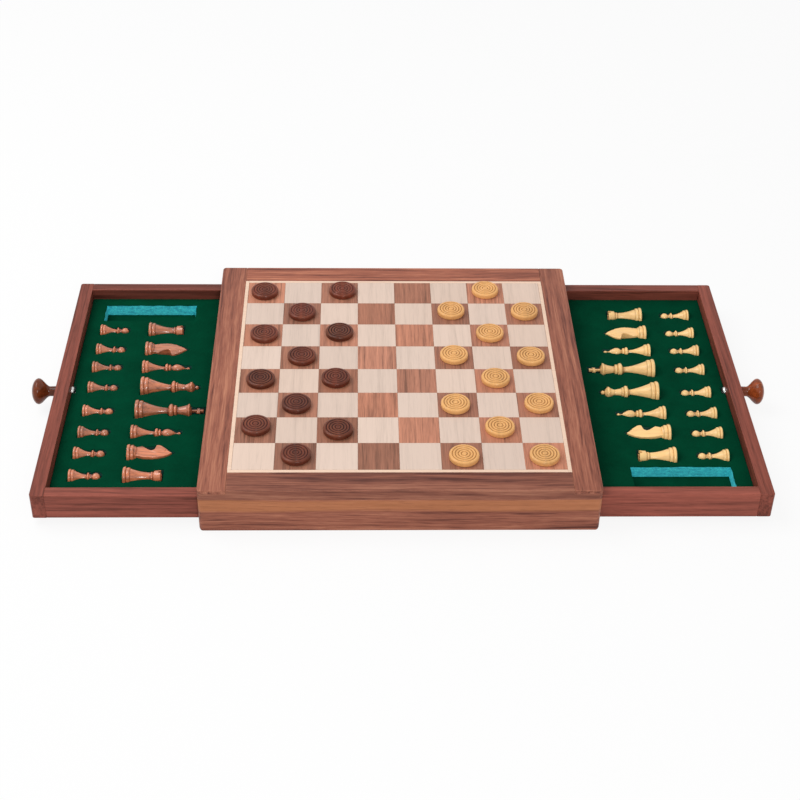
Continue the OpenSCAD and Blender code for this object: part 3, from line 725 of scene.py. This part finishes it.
def bishop_outline(h, r):
    head = []
    for step in range(13):
        t = 0.07 + 0.86 * step / 12
        swell = math.sin(math.pi * t ** 0.75) ** 0.8
        head.append((h * (0.62 + 0.29 * t), r * 0.45 * swell + r * 0.1 * (1 - t)))
    return (
        foot(r)
        + cove(r * 0.8, r * 0.77, h * 0.47, r * 0.25, 1.7)
        + bead(h * 0.487, h * 0.55, r * 0.6, r * 0.16)
        + bead(h * 0.557, h * 0.604, r * 0.49, r * 0.13)
        + [(h * 0.614, r * 0.28)]
        + head
        + [(h * 0.922, r * 0.09)]
        + ball(h, r * 0.17, 50)
    )


def rook_outline(h, r):
    well_d, well_r, crown_r, soft = h * 0.12, r * 0.42, r * 0.65, r * 0.03
    return (
        foot(r)
        + cove(r * 0.8, r * 0.79, h * 0.73, r * 0.43, 1.9)
        + bead(h * 0.742, h * 0.778, r * 0.5, r * 0.05, 4)
        + cove(h * 0.782, r * 0.46, h * 0.825, r * 0.59, 0.7, 6)
        + [(h * 0.838, r * 0.62), (h - soft, crown_r), (h, crown_r - soft), (h, well_r + soft)]
        + [(h - soft, well_r), (h - well_d, well_r), (h - well_d, 0)]
    )


def pawn_outline(h, r):
    return (
        foot(r)
        + cove(r * 0.8, r * 0.77, h * 0.57, r * 0.32, 1.8)
        + bead(h * 0.592, h * 0.658, r * 0.56, r * 0.16)
        + bead(h * 0.664, h * 0.686, r * 0.39, r * 0.05, 4)
        + [(h * 0.7, r * 0.31)]
        + ball(h, r * 0.5, 40)
    )


def rounded_edge(height, r, edge, start, steps=4):
    """A quarter of a round on the rim of a disc, from an angle in degrees upwards."""
    angles = [math.radians(start + 90 * i / steps) for i in range(steps + 1)]
    middle = height + edge if start < 0 else height - edge
    return [(middle + edge * math.sin(a), r - edge + edge * math.cos(a)) for a in angles]


def draught_outline(r, t):
    """Concentric grooves in the top, a rounded rim, and a bore for the magnet underneath."""
    groove_d, groove_half, flat_r = 0.5 * MM, 0.62 * MM, r - 2.1 * MM
    profile = ((1, 0), (0.6, 0.45), (0.25, 0.95), (-0.25, 0.95), (-0.6, 0.45), (-1, 0))
    top = []
    for i in range(int(flat_r / RING_PITCH), 0, -1):
        top += [(t - groove_d * depth, i * RING_PITCH + side * groove_half) for side, depth in profile]
    rim = rounded_edge(0, r, 0.9 * MM, -90) + rounded_edge(t, r, 1.5 * MM, 0)
    bore = [(MAGNET_BORE_D, 0), (MAGNET_BORE_D, MAGNET_BORE_R), (0, MAGNET_BORE_R)]
    return bore + rim + top + [(t, 0)]


def knob_outline(l, r):
    """A short neck that swells evenly into an egg-shaped head."""
    collar = ((0, 1.1), (0.01, 1.12), (0.04, 1.12), (0.05, 1.05))
    swell = [i / 14 for i in range(15)]
    dome = [math.radians(a) for a in range(9, 91, 9)]
    return (
        [(0, 0)]
        + [(l * height, KNOB_NECK_R * size) for height, size in collar]
        + [(l * (0.32 + 0.43 * t), KNOB_NECK_R + (r - KNOB_NECK_R) * t * t * (3 - 2 * t)) for t in swell]
        + [(l * (0.75 + 0.25 * math.sin(a)), r * math.cos(a)) for a in dome]
    )


def screw_outline(l, head_r):
    """A pointed shank with a domed head."""
    seat = l - SCREW_HEAD_T
    dome = [math.radians(a) for a in range(15, 76, 15)]
    return (
        [(0, 0), (1.2 * MM, SCREW_R * 0.6), (3 * MM, SCREW_R), (seat, SCREW_R), (seat, head_r * 0.97)]
        + [(seat + 0.15 * MM, head_r)]
        + [(seat + SCREW_HEAD_T * math.sin(a), head_r * math.cos(a) ** 0.6) for a in dome]
        + [(l, 0)]
    )


def along_outline(outline, place):
    """The point at a distance along an outline."""
    for a, b in zip(outline, outline[1:]):
        step = math.dist(a, b)
        if place <= step:
            share = max(0.0, place / step) if step else 0.0
            return Vector(a).lerp(Vector(b), share)
        place -= step
    return Vector(outline[-1])


def bends(outline):
    """How deep each point of an outline lies between its neighbours, up to 1. Below 0 it stands proud."""
    reach, deepest = 0.7 * MM, 0.22 * MM
    found, place = [], 0.0
    for i, here in enumerate(outline):
        if i:
            place += math.dist(outline[i - 1], here)
        before, after = along_outline(outline, place - reach), along_outline(outline, place + reach)
        tangent = (after - before).normalized()
        outward = Vector((-tangent.y, tangent.x))
        depth = ((before + after) / 2 - Vector(here)).dot(outward)
        found.append(min(1.0, max(-1.0, depth / deepest)))
    return found


def turned(outline, steps=None):
    """A solid turned about Z. Its creases are marked for painted shade, and its proud edges for rubbing and a
    painted highlight.
    """
    steps = steps or bpy.context.scene.chess_box_edges.turning_steps
    bm = bmesh.new()
    crease, edge = bm.verts.layers.float.new("crease"), bm.verts.layers.float.new("edge")
    rings = []
    for (height, radius), bend in zip(outline, bends(outline)):
        if radius < WELD:
            rings.append([bm.verts.new((0, 0, height))])
        else:
            angles = [2 * math.pi * i / steps for i in range(steps)]
            rings.append([bm.verts.new((radius * math.cos(a), radius * math.sin(a), height)) for a in angles])
        for vertex in rings[-1]:
            # These marks drive painted shade in creases, and paler edges from rubbing and a painted
            # highlight.
            vertex[crease] = max(0.0, bend)
            vertex[edge] = max(0.0, -bend)
    for low, high in zip(rings, rings[1:]):
        for i in range(steps):
            j = i + 1
            corners = (low[i % len(low)], low[j % len(low)], high[j % len(high)], high[i % len(high)])
            unique = list(dict.fromkeys(corners))  # a ring of one vertex gives a triangle
            if len(unique) > 2:
                bm.faces.new(unique)
    return bm


def bar_size(box):
    """Length and radius of something round that lies along X."""
    low, high = box
    return high.x - low.x, (high.z - low.z) / 2


def laid_matrix(box, way, foot_t=0.0):
    """Lays a man in its cut-out, with its head to the right where way is +1.

    foot_t is how much of its foot lies outside the box, as it belongs to another node.
    """
    low, high = box
    foot_x = low.x - foot_t if way > 0 else high.x + foot_t
    middle = (low + high) / 2
    facing = -1 if middle.y > 0 else 1
    turn = Matrix(((0, 0, way), (facing, 0, 0), (0, way * facing, 0))).to_4x4()
    return Matrix.Translation((foot_x, middle.y, middle.z)) @ turn


def driven_matrix(box, way):
    """Points what stands on Z = 0 to the right where way is +1, and to the left where it is -1."""
    low, high = box
    middle = (low + high) / 2
    turn = Matrix(((0, 0, way), (0, 1, 0), (-way, 0, 0))).to_4x4()
    return Matrix.Translation((low.x if way > 0 else high.x, middle.y, middle.z)) @ turn


def copies(shape, matrices, seed):
    """One shape with a copy of another at each matrix. The other one is freed."""
    shape.verts.layers.float_vector.new("piece_random")
    template = mesh_of(shape, "template")
    bm = bmesh.new()
    dice = random.Random(seed)
    for matrix in matrices:
        before = len(bm.verts)
        bm.from_mesh(template)
        bm.verts.ensure_lookup_table()
        layer = bm.verts.layers.float_vector["piece_random"]
        numbers = Vector((dice.random(), dice.random(), dice.random()))
        for vertex in bm.verts[before:]:
            vertex.co = matrix @ vertex.co
            vertex[layer] = numbers
    bpy.data.meshes.remove(template)
    return bm


def carved(bm, cutters):
    """Takes boxes, each as (centre, size, turn about Z), out of a shape."""
    tool = bmesh.new()
    for centre, size, turn in cutters:
        matrix = Matrix.Rotation(turn, 4, "Z") @ Matrix.Translation(centre) @ Matrix.Diagonal((*size, 1))
        bmesh.ops.create_cube(tool, size=1, matrix=matrix)
    pair = []
    for shape in (bm, tool):
        bmesh.ops.recalc_face_normals(shape, faces=shape.faces)
        pair.append(add_object("carving", mesh_of(shape, "carving")))
    cut = pair[0].modifiers.new("Cut", "BOOLEAN")
    cut.operation, cut.solver, cut.object = "DIFFERENCE", "EXACT", pair[1]
    cut.use_self = True
    return evaluated(*pair)


def evaluated(piece, *spares):
    """The shape of an object with its modifiers. The object and the spare ones are removed."""
    solved = piece.evaluated_get(bpy.context.evaluated_depsgraph_get())
    bm = bmesh.new()
    bm.from_mesh(solved.to_mesh())
    solved.to_mesh_clear()
    for spare in (piece, *spares):
        bpy.data.objects.remove(spare)
    return bm


# ---- Chessmen ----


def king_shape(h, r):
    """The turned body, with a cross pattee on its crown."""
    bm = turned(king_outline(h, r))
    half_t, middle, low, high = r * 0.1, h * 0.925, h * 0.81, h - 0.02 * MM
    arm, waist, tip = r * 0.28, r * 0.07, r * 0.15
    right = [(waist, low), (waist, middle - waist), (arm, middle - tip), (arm, middle + tip)]
    right += [(waist, middle + waist), (tip, high)]
    ring = right + [(-x, z) for x, z in reversed(right)]
    layers = []
    for y, inset in ((-half_t, 0.82), (-half_t * 0.7, 1.0), (half_t * 0.7, 1.0), (half_t, 0.82)):
        places = [(x * inset, y, middle + (z - middle) * inset if z > low else z) for x, z in ring]
        layers.append([bm.verts.new(place) for place in places])
    for near, far in zip(layers, layers[1:]):
        join_rings(bm, near, far)
    bm.faces.new(layers[0])
    bm.faces.new(list(reversed(layers[-1])))
    return bm


def queen_shape(h, r):
    """The turned body, with scallops in the coronet's rim."""
    bm = turned(queen_outline(h, r))
    rim, scallops = h * 0.88, 9
    for vertex in bm.verts:
        off = math.hypot(vertex.co.x, vertex.co.y)
        near_rim = max(0.0, 1 - abs(vertex.co.z - rim) / (h * 0.022))
        if off > r * 0.4 and near_rim > 0:
            bearing = math.atan2(vertex.co.y, vertex.co.x)
            vertex.co.z -= near_rim * 0.5 * MM * math.sin(bearing * scallops / 2) ** 2
    return bm


def rook_shape(h, r):
    """The turned body, with a battlement of four merlons."""
    notch = (2.2 * r, r * 0.26, h * 0.12)
    cuts = [(Vector((0, 0, h)), notch, turn) for turn in (0, math.pi / 2)]
    return carved(turned(rook_outline(h, r)), cuts)


def bishop_shape(h, r):
    return turned(bishop_outline(h, r))


def pawn_shape(h, r):
    return turned(pawn_outline(h, r))


# Side view of a knight's head as (height, distance in front of the axis), in shares of the
# knight's height and its foot's radius: up the mane, over the ears and down the face
KNIGHT_HEAD = [
    (0.16, -0.6), (0.25, -0.65), (0.38, -0.8), (0.55, -0.85), (0.7, -0.76), (0.83, -0.54), (0.93, -0.24),
    (1, 0.04), (0.94, 0.2), (0.9, 0.4), (0.85, 0.62), (0.785, 0.86), (0.72, 1.03), (0.665, 1.08),
    (0.635, 0.97), (0.62, 0.66), (0.595, 0.34), (0.545, 0.18), (0.48, 0.28), (0.4, 0.56), (0.33, 0.8),
    (0.26, 0.72), (0.16, 0.6),
]


def knight_head(h, r):
    """The carved head: its side view cut from a slab, rounded over and carved."""
    bm = bmesh.new()
    sides = []
    for side in (-1, 1):
        ring = []
        for z, x in KNIGHT_HEAD:
            taper = 1 - max(0.0, z - 0.5)
            ring.append(bm.verts.new((x * r, side * KNIGHT_T / 2 * taper, z * h)))
        sides.append(ring)
        bm.faces.new(ring)
    join_rings(bm, *sides)
    bmesh.ops.recalc_face_normals(bm, faces=bm.faces)
    block = add_object("knight head", mesh_of(bm, "knight head"))
    remesh = block.modifiers.new("Even", "REMESH")
    remesh.mode, remesh.voxel_size = "VOXEL", 0.32 * MM
    soften = block.modifiers.new("Round over", "SMOOTH")
    soften.factor, soften.iterations = 0.5, 14
    head = evaluated(block)
    carve_head(head, h, r)
    return head


def hump(distance, reach):
    """1 at a distance of 0, falling away smoothly. reach is in millimetres."""
    return math.exp(-(distance / (reach * MM)) ** 2)


def carve_head(head, h, r):
    """Mane, eye, nostril, mouth, jaw and ear, cut into both sides of the head."""
    eye = Vector((0.32 * r, 0.835 * h))
    spots = (  # middle, how far it stands out and how far it reaches, in millimetres
        (eye, 0.45, 0.55),
        (Vector((0.88 * r, 0.725 * h)), -0.5, 0.45),  # nostril
        (Vector((0.2 * r, 0.7 * h)), 0.35, 1.9),  # jaw
        (Vector((-0.02 * r, 0.93 * h)), -0.35, 0.5),  # ear
    )
    for vertex in head.verts:
        x, y, z = vertex.co
        here = Vector((x, z))
        depth = sum(rise * hump((here - middle).length, reach) for middle, rise, reach in spots)
        depth -= 0.3 * hump((here - eye).length - 1.0 * MM, 0.3)
        if x > 0.62 * r:
            depth -= 0.35 * hump(z - 0.668 * h - (x - r) * 0.1, 0.22)  # mouth
        if z > 0.3 * h:
            mane_x = (-0.2 - 0.4 * max(0.0, 1 - abs(z / h - 0.5) * 2)) * r
            mane = min(1.0, max(0.0, (mane_x - x) / (0.15 * r)))
            depth -= 0.22 * mane * (0.5 + 0.5 * math.sin((z * 0.8 - x * 0.9) / (0.42 * MM)))
        flank = min(1.0, abs(y) / (0.3 * KNIGHT_T))
        vertex.co.y += (1 if y > 0 else -1) * flank * depth * MM


def knight_shape(h, r):
    bm = turned(foot(r) + [(r * 0.86, r * 0.77), (r * 0.92, r * 0.7), (r * 0.92, 0)])
    add_shape(bm, knight_head(h, r))
    return bm


# The shape of each kind of man, and the node of its magnet and felt
MEN = {
    "king": (king_shape, "king_magnet_felt"), "queen": (queen_shape, "queen_magnet_felt"),
    "bishops": (bishop_shape, "bishop_magnets_felts"), "knights": (knight_shape, "knight_magnets_felts"),
    "rooks": (rook_shape, "rook_magnets_felts"), "pawns": (pawn_shape, "pawn_magnets_felts"),
}


# ---- Trays ----


def top_outlines(node):
    """Closed outlines, in plan, of a CAD node's upper face, each with the material on its left."""
    bm = welded(node)
    top = max(vertex.co.z for vertex in bm.verts)
    follows = {}
    # A dict keeps the faces' order, so that every run gives the same mesh
    upper = dict.fromkeys(f for f in bm.faces if f.normal.z > 0.9 and f.calc_center_median().z > top - WELD)
    for face in upper:
        for corner in face.loops:
            if not any(other in upper for other in corner.edge.link_faces if other != face):
                follows[corner.vert.index] = corner.link_loop_next.vert.index
    bm.verts.ensure_lookup_table()
    places = [vertex.co.xy.copy() for vertex in bm.verts]
    bm.free()
    outlines = []
    while follows:
        start = next(iter(follows))
        ring, here = [], start
        while here in follows:
            ring.append(places[here])
            here = follows.pop(here)
        outlines.append(ring)
    return outlines, top


def even_ring(ring, step):
    """An outline with points about one step apart, its corners kept."""
    spaced = []
    for a, b in steps_round(ring):
        parts = max(1, round((b - a).length / step))
        spaced += [a.lerp(b, i / parts) for i in range(parts)]
    return spaced


def cut_corners(ring):
    """An outline with every corner cut once."""
    made = []
    for a, b in steps_round(ring):
        made += [a.lerp(b, 0.25), a.lerp(b, 0.75)]
    return made


def left_normals(ring):
    """At each point, the direction into the material."""
    chords = [(after - before).normalized() for before, after in zip(ring[-1:] + ring, ring[1:] + ring[:1])]
    return [Vector((-chord.y, chord.x)) for chord in chords]


def ring_area(ring):
    return sum(a.x * b.y - b.x * a.y for a, b in steps_round(ring)) / 2


def wandering(ring, amount, pace):
    """An outline moved in and out a little, as a hand-cut edge wanders."""
    moved = []
    for place, normal in zip(ring, left_normals(ring)):
        shift = noise.noise(Vector((place.x * pace, place.y * pace, 3.7)))
        moved.append(place + normal * shift * amount)
    return moved


def skin_shape(node):
    """The flocked skin: a sheet with a rounded lip round every cut-out."""
    soft = bpy.context.scene.chess_box_soft
    outlines, top = top_outlines(node)
    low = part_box(node)[0].z
    slot_area = 1000 * MM * MM  # of the cut-outs, only the draughts slot is larger
    quarter = [math.radians(a) for a in (0, 30, 60, 90)]
    lip = [(top - soft.lip + soft.lip * math.sin(a), soft.lip - soft.lip * math.cos(a)) for a in quarter]
    bm = bmesh.new()
    upper_edges, lower_edges = [], []
    for ring in outlines:
        area = ring_area(ring)
        if area > 0:
            ring = even_ring(ring, 4 * MM)
        elif -area > slot_area:
            ring = wandering(even_ring(ring, 1.2 * MM), soft.slot_wobble, 160)
        else:
            ring = wandering(cut_corners(even_ring(ring, 0.8 * MM)), soft.wobble, 700)
        normals = left_normals(ring)
        rows = []
        for height, inset in [(low, 0.0), *lip]:
            rows.append([bm.verts.new((*(p + n * inset), height)) for p, n in zip(ring, normals)])
        for under, over in zip(rows, rows[1:]):
            join_rings(bm, under, over)
        for row, edges in ((rows[0], lower_edges), (rows[-1], upper_edges)):
            edges += [bm.edges.get(ends) for ends in steps_round(row)]
    for edges, up in ((upper_edges, 1), (lower_edges, -1)):
        bmesh.ops.triangle_fill(bm, use_beauty=True, edges=edges, normal=(0, 0, up))
    return bm


# ---- Operators ----


class ChessBoxOperator:
    """What all the operators share."""

    bl_options = {"REGISTER", "UNDO"}


class CHESSBOX_OT_case(ChessBoxOperator, bpy.types.Operator):
    """Sands and lacquers the boards of the case and its frame"""

    bl_idname = "chess_box.case"
    bl_label = "Case"

    def execute(self, context):
        scene = context.scene
        streak = (18.5 * MM, 29.5 * MM, tuple(scene.chess_box_woods.sap_streak))
        front = walnut("front", ALONG_X, band=streak, variety=0.0, apart=0.0, flames=0.45)
        along = walnut("case", ALONG_X, flames=0.7, variety=0.19)
        across = walnut("case", ALONG_Y, flames=0.5, variety=0.04)
        boards = {
            "front_board": front, "back_board": along, "bottom_panel": along, "drawer_divider": across,
            "frame_rails": along, "frame_stiles": across,
        }
        for seed, (node, material) in enumerate(boards.items(), SEEDS["case"]):
            sanded(node, "sanded", scene.chess_box_edges.board, material, seed)
        finished_node("board_core", birch())
        finished_node("steel_sheet", steel())
        return {"FINISHED"}


class CHESSBOX_OT_squares(ChessBoxOperator, bpy.types.Operator):
    """Lays the inlaid squares and the stringing round them"""

    bl_idname = "chess_box.squares"
    bl_label = "Squares and stringing"

    def execute(self, context):
        woods, edges = context.scene.chess_box_woods, context.scene.chess_box_edges
        inlays = {
            "dark_squares": material_once(
                "Walnut squares", wood, *shades(woods.brown_square, 0.5, 1.35), turn=ALONG_Y, figure=6,
                flames=0.8, streaks=1.2, fibres=0.8, variety=0.3, warm=0.1
            ),
            "light_squares": material_once(
                "Maple squares", wood, *shades(woods.maple, 0.8, 1.06), turn=ALONG_Y, figure=4, flames=0.5,
                streaks=0.8, lines=0.1, variety=0.04, pores=0.1
            ),
            "board_stringing": material_once(
                "Maple stringing", wood, *shades(woods.stringing, 0.9, 1.03), variety=0.02, pores=0.1
            ),
        }
        for node, material in inlays.items():
            sanded(node, "inlaid", edges.square, material, steps=2)
        return {"FINISHED"}


class CHESSBOX_OT_drawers(ChessBoxOperator, bpy.types.Operator):
    """Sands and lacquers the boards of both drawers"""

    bl_idname = "chess_box.drawers"
    bl_label = "Drawers"

    def execute(self, context):
        edges = context.scene.chess_box_edges
        along = walnut("drawer", ALONG_X, variety=0.25, warm=0.15, shine=0.14)
        across = walnut("drawer", ALONG_Y, flames=1.1, variety=0.12, shine=0.14)
        boards = {
            "drawer_end": across, "drawer_inner_end": across, "drawer_front_side": along,
            "drawer_back_side": along,
        }
        for row, side in enumerate(OUTWARD):
            for seed, (board, material) in enumerate(boards.items(), SEEDS["drawers"] + 10 * row):
                sanded(f"{side}_{board}", "sanded", edges.board, material, seed)
            finished_node(f"{side}_drawer_bottom", birch())
        return {"FINISHED"}


class CHESSBOX_OT_knobs(ChessBoxOperator, bpy.types.Operator):
    """Turns the knobs and drives their screws"""

    bl_idname = "chess_box.knobs"
    bl_label = "Knobs and screws"

    def execute(self, context):
        tones = shades(context.scene.chess_box_woods.knob, 0.5, 1.6)
        lacquered = material_once("Lacquered knob", wood, *tones, figure=4, gloss=0.35, shine=0.08, rough=0.3,
                                  variety=0.5, warm=0.2, edge=0.0)
        for side, outward in OUTWARD.items():
            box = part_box(f"{side}_knob")
            shape = turned(knob_outline(*bar_size(box)))
            made = copies(shape, [driven_matrix(box, outward)], NODE_SEEDS[f"{side}_knob"])
            place_piece(f"{side}_turned_knob", made, f"{side}_knob", lacquered)
            self.screw(side, -outward)
        return {"FINISHED"}

    def screw(self, side, way):
        """A screw with a domed, cross-slotted head on the end board's inner face."""
        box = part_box(f"{side}_knob_screw")
        total, head_r = bar_size(box)
        slot = (head_r * 1.1, 0.9 * MM, SCREW_HEAD_T)
        cuts = [(Vector((0, 0, total)), slot, math.radians(turn)) for turn in (20, 110)]
        shape = carved(turned(screw_outline(total, head_r), 40), cuts)
        made = copies(shape, [driven_matrix(box, way)], SEEDS["screws"])
        place_piece(f"{side}_driven_screw", made, f"{side}_knob_screw", steel())


class CHESSBOX_OT_trays(ChessBoxOperator, bpy.types.Operator):
    """Cuts the foam trays and flocks them with baize"""

    bl_idname = "chess_box.trays"
    bl_label = "Trays"

    def execute(self, context):
        soft = context.scene.chess_box_soft
        green = material_once("Green baize", flock, tuple(soft.baize), 0.5, 0.03, 1800.0)
        # The dark foam colour is painted shade for the cut-outs round the men.
        teal = material_once("Teal foam", foam_material, tuple(soft.foam), paint(6, 74, 66))
        for side in OUTWARD:
            node = f"{side}_tray_baize"
            skin = place_piece(f"{side}_flocked_skin", skin_shape(node), node, green)
            finished_node(f"{side}_tray_foam", teal)
            finished_node(f"{side}_floor_baize", green)
        return {"FINISHED"}


class CHESSBOX_OT_men(ChessBoxOperator, bpy.types.Operator):
    """Turns and carves the chessmen and lays them in their cut-outs"""

    bl_idname = "chess_box.men"
    bl_label = "Chessmen"

    def execute(self, context):
        woods = context.scene.chess_box_woods
        # On the men, creases darken as painted shade and proud edges grow paler from rubbing and a painted
        # highlight.
        finishes = {
            "dark": material_once(
                "Polished rosewood", wood, *shades(woods.rosewood, 0.4, 1.5), figure=3, variety=0.15,
                gloss=0.9, rough=0.3, relief=0.03, edge=0.5
            ),
            "light": material_once(
                "Polished boxwood", wood, *shades(woods.boxwood, 0.75, 1.1), figure=3, flames=0.4, lines=0.1,
                variety=0.05, pores=0.1, gloss=0.4, rough=0.36, relief=0.03, edge=0.5
            ),
        }
        for shade, drawer in COLOURS.items():
            for seed, (kind, (shape, _)) in enumerate(MEN.items(), SEEDS["men"]):
                node = f"{shade}_{kind}"
                boxes = solid_boxes(node)
                body_h, foot_r = bar_size(boxes[0])
                matrices = [laid_matrix(box, -OUTWARD[drawer], FELT_T) for box in boxes]
                made = copies(shape(body_h + FELT_T, foot_r), matrices, seed)
                place_piece(f"{shade}_turned_{kind}", made, node, finishes[shade])
        return {"FINISHED"}


class CHESSBOX_OT_felts(ChessBoxOperator, bpy.types.Operator):
    """Glues the felts over the magnets in the chessmen's feet"""

    bl_idname = "chess_box.felts"
    bl_label = "Felts and magnets"

    def execute(self, context):
        felt = material_once("Green felt", flock, tuple(context.scene.chess_box_soft.felt), 0.6, 0.35, 2600.0)
        for shade, drawer in COLOURS.items():
            for seed, (_, fitting) in enumerate(MEN.values(), SEEDS["felts"]):
                node = f"{shade}_{fitting}"
                made = bmesh.new()
                for box in solid_boxes(node):
                    t, r = bar_size(box)
                    is_felt = t < 0.8 * MM
                    soft = t * (0.3 if is_felt else 0.1)
                    edge = [(0, r - soft), (soft, r), (t - soft, r), (t, r - soft)]
                    disc = turned([(0, 0), *edge, (t, 0)], 48)
                    for face in disc.faces:
                        face.material_index = 0 if is_felt else 1
                    bmesh.ops.transform(disc, matrix=laid_matrix(box, -OUTWARD[drawer]), verts=disc.verts)
                    add_shape(made, disc)
                number_solids(made, seed)
                place_piece(f"{node}_glued", made, node, felt, steel())
        return {"FINISHED"}


class CHESSBOX_OT_draughts(ChessBoxOperator, bpy.types.Operator):
    """Turns the draughts and stands them on their squares"""

    bl_idname = "chess_box.draughts"
    bl_label = "Draughts"

    def execute(self, context):
        woods = context.scene.chess_box_woods
        both = {"turn": ALONG_Y, "figure": 5, "lines": 0.15, "warm": 0.2, "gloss": 0.25, "shine": 0.08,
                "rough": 0.3, "relief": 0.04}
        # On the draughts the paler colour on the rings' edges is a painted highlight, and the darker grooves
        # are painted shade.
        finishes = {
            "dark": material_once(
                "Polished dark draught", wood, *shades(woods.dark_draught, 0.5, 1.8), **both, variety=0.55,
                pores=0.3, edge=0.5, crease=0.4, worn=paint(156, 88, 58)
            ),
            "light": material_once(
                "Polished light draught", wood, *shades(woods.light_draught, 0.78, 1.15), **both,
                variety=0.08, pores=0.1, edge=0.7, crease=0.85
            ),
        }
        for row, (shade, finish) in enumerate(finishes.items()):
            node = f"{shade}_draughts"
            boxes = solid_boxes(node)
            low, high = boxes[0]
            shape = turned(draught_outline((high.x - low.x) / 2, high.z - low.z))
            dice = random.Random(SEEDS["spins"] + row)
            matrices = []
            for low, high in boxes:
                middle = (low + high) / 2
                spin = Matrix.Rotation(dice.uniform(0, math.tau), 4, "Z")
                matrices.append(Matrix.Translation((middle.x, middle.y, low.z)) @ spin)
            made = copies(shape, matrices, SEEDS["draughts"] + row)
            place_piece(f"{shade}_turned_draughts", made, node, finish)
            finished_node(f"{shade}_draught_magnets", steel())
        return {"FINISHED"}


class CHESSBOX_OT_stage(ChessBoxOperator, bpy.types.Operator):
    """Sets the floor, the lamps, the sky and the camera"""

    bl_idname = "chess_box.stage"
    bl_label = "Stage"

    def execute(self, context):
        studio = context.scene.chess_box_studio
        context.scene.view_settings.view_transform = "Standard"
        self.floor(studio)
        context.scene.world = self.sky(studio)
        self.lamp("Key lamp", (-0.8, 0.2, 1.3), (0.0, 0.0, 0.0), 1.0, studio.key)
        self.lamp("Front lamp", (0.2, -1.6, 1.2), (0.0, -0.1, 0.0), 0.45, studio.fill)
        context.scene.camera = self.camera(studio)
        return {"FINISHED"}

    def white_rays(self, tree):
        """1 for rays from the camera and for those that gloss or glass sends on."""
        path = put(tree, "LightPath")
        seen = calc(tree, "MAXIMUM", path.outputs["Is Camera Ray"], path.outputs["Is Glossy Ray"])
        return calc(tree, "MAXIMUM", seen, path.outputs["Is Transmission Ray"])

    def floor(self, studio):
        half = 4.0
        bm = bmesh.new()
        corners = ((-half, -half, 0), (half, -half, 0), (half, half, 0), (-half, half, 0))
        bm.faces.new([bm.verts.new(corner) for corner in corners])
        floor = add_object("table_top", mesh_of(bm, "table_top"))
        material, tree, shader = new_material("White table top")
        feed(tree, shader.inputs["Base Color"], tuple(studio.floor))
        feed(tree, shader.inputs["Roughness"], 0.9)
        feed(tree, shader.inputs["Specular IOR Level"], 0.1)
        glow = put(tree, "Emission", {"Color": (1, 1, 1), "Strength": 1.0})
        share = times(tree, self.white_rays(tree), studio.floor_glow)
        both = put(tree, "MixShader", {0: share, 1: shader.outputs[0], 2: glow.outputs[0]})
        feed(tree, tree.get_output_node("ALL").inputs["Surface"], both.outputs[0])
        floor.data.materials.append(material)

    def sky(self, studio):
        world = bpy.data.worlds.new("Sky")
        world.use_nodes = True
        tree = world.node_tree
        tree.nodes.clear()
        strength = scaled(tree, self.white_rays(tree), 1.0 - studio.sky, studio.sky)
        light = put(tree, "Background", {"Color": (1, 1, 1), "Strength": strength})
        put(tree, "OutputWorld", {"Surface": light.outputs[0]})
        return world

    def lamp(self, name, place, aim, side, power):
        data = bpy.data.lights.new(name, "AREA")
        data.shape, data.size, data.energy = "SQUARE", side, power
        lamp = add_object(name, data)
        lamp.location = place
        lamp.rotation_euler = (Vector(aim) - Vector(place)).to_track_quat("-Z", "Y").to_euler()

    def camera(self, studio):
        frame_side, sensor = 800, 36.0
        data = bpy.data.cameras.new("Camera")
        data.sensor_width = sensor
        data.lens = studio.focal_pixels / frame_side * sensor
        camera = add_object("Camera", data)
        camera.location = studio.camera_place
        look = Euler((math.pi / 2 - studio.camera_pitch, 0, studio.camera_yaw), "XYZ").to_matrix()
        camera.rotation_mode = "QUATERNION"
        camera.rotation_quaternion = (look @ Matrix.Rotation(studio.camera_roll, 3, "Z")).to_quaternion()
        return camera


OPERATORS = (
    CHESSBOX_OT_case, CHESSBOX_OT_squares, CHESSBOX_OT_drawers, CHESSBOX_OT_knobs, CHESSBOX_OT_trays,
    CHESSBOX_OT_men, CHESSBOX_OT_felts, CHESSBOX_OT_draughts, CHESSBOX_OT_stage,
)
SETTINGS = {
    "chess_box_woods": ChessBoxWoods, "chess_box_soft": ChessBoxSoft, "chess_box_edges": ChessBoxEdges,
    "chess_box_studio": ChessBoxStudio,
}


class CHESSBOX_PT_panel(bpy.types.Panel):
    """Settings and steps of the chess box"""

    bl_idname = "CHESSBOX_PT_panel"
    bl_label = "Chess box"
    bl_space_type = "VIEW_3D"
    bl_region_type = "UI"
    bl_category = "Chess box"

    def draw(self, context):
        for name in SETTINGS:
            box = self.layout.box()
            settings = getattr(context.scene, name)
            for field in settings.__annotations__:
                box.prop(settings, field)
        for operator in OPERATORS:
            self.layout.operator(operator.bl_idname)


def register():
    for group_class in SETTINGS.values():
        bpy.utils.register_class(group_class)
    for name, group_class in SETTINGS.items():
        setattr(bpy.types.Scene, name, bpy.props.PointerProperty(type=group_class))
    for shown in (*OPERATORS, CHESSBOX_PT_panel):
        bpy.utils.register_class(shown)


def unregister():
    for shown in (CHESSBOX_PT_panel, *reversed(OPERATORS)):
        bpy.utils.unregister_class(shown)
    for name, group_class in SETTINGS.items():
        delattr(bpy.types.Scene, name)
        bpy.utils.unregister_class(group_class)


def main():
    register()
    for operator in OPERATORS:
        area, step = operator.bl_idname.split(".")
        getattr(getattr(bpy.ops, area), step)()


if __name__ == "__main__":
    main()
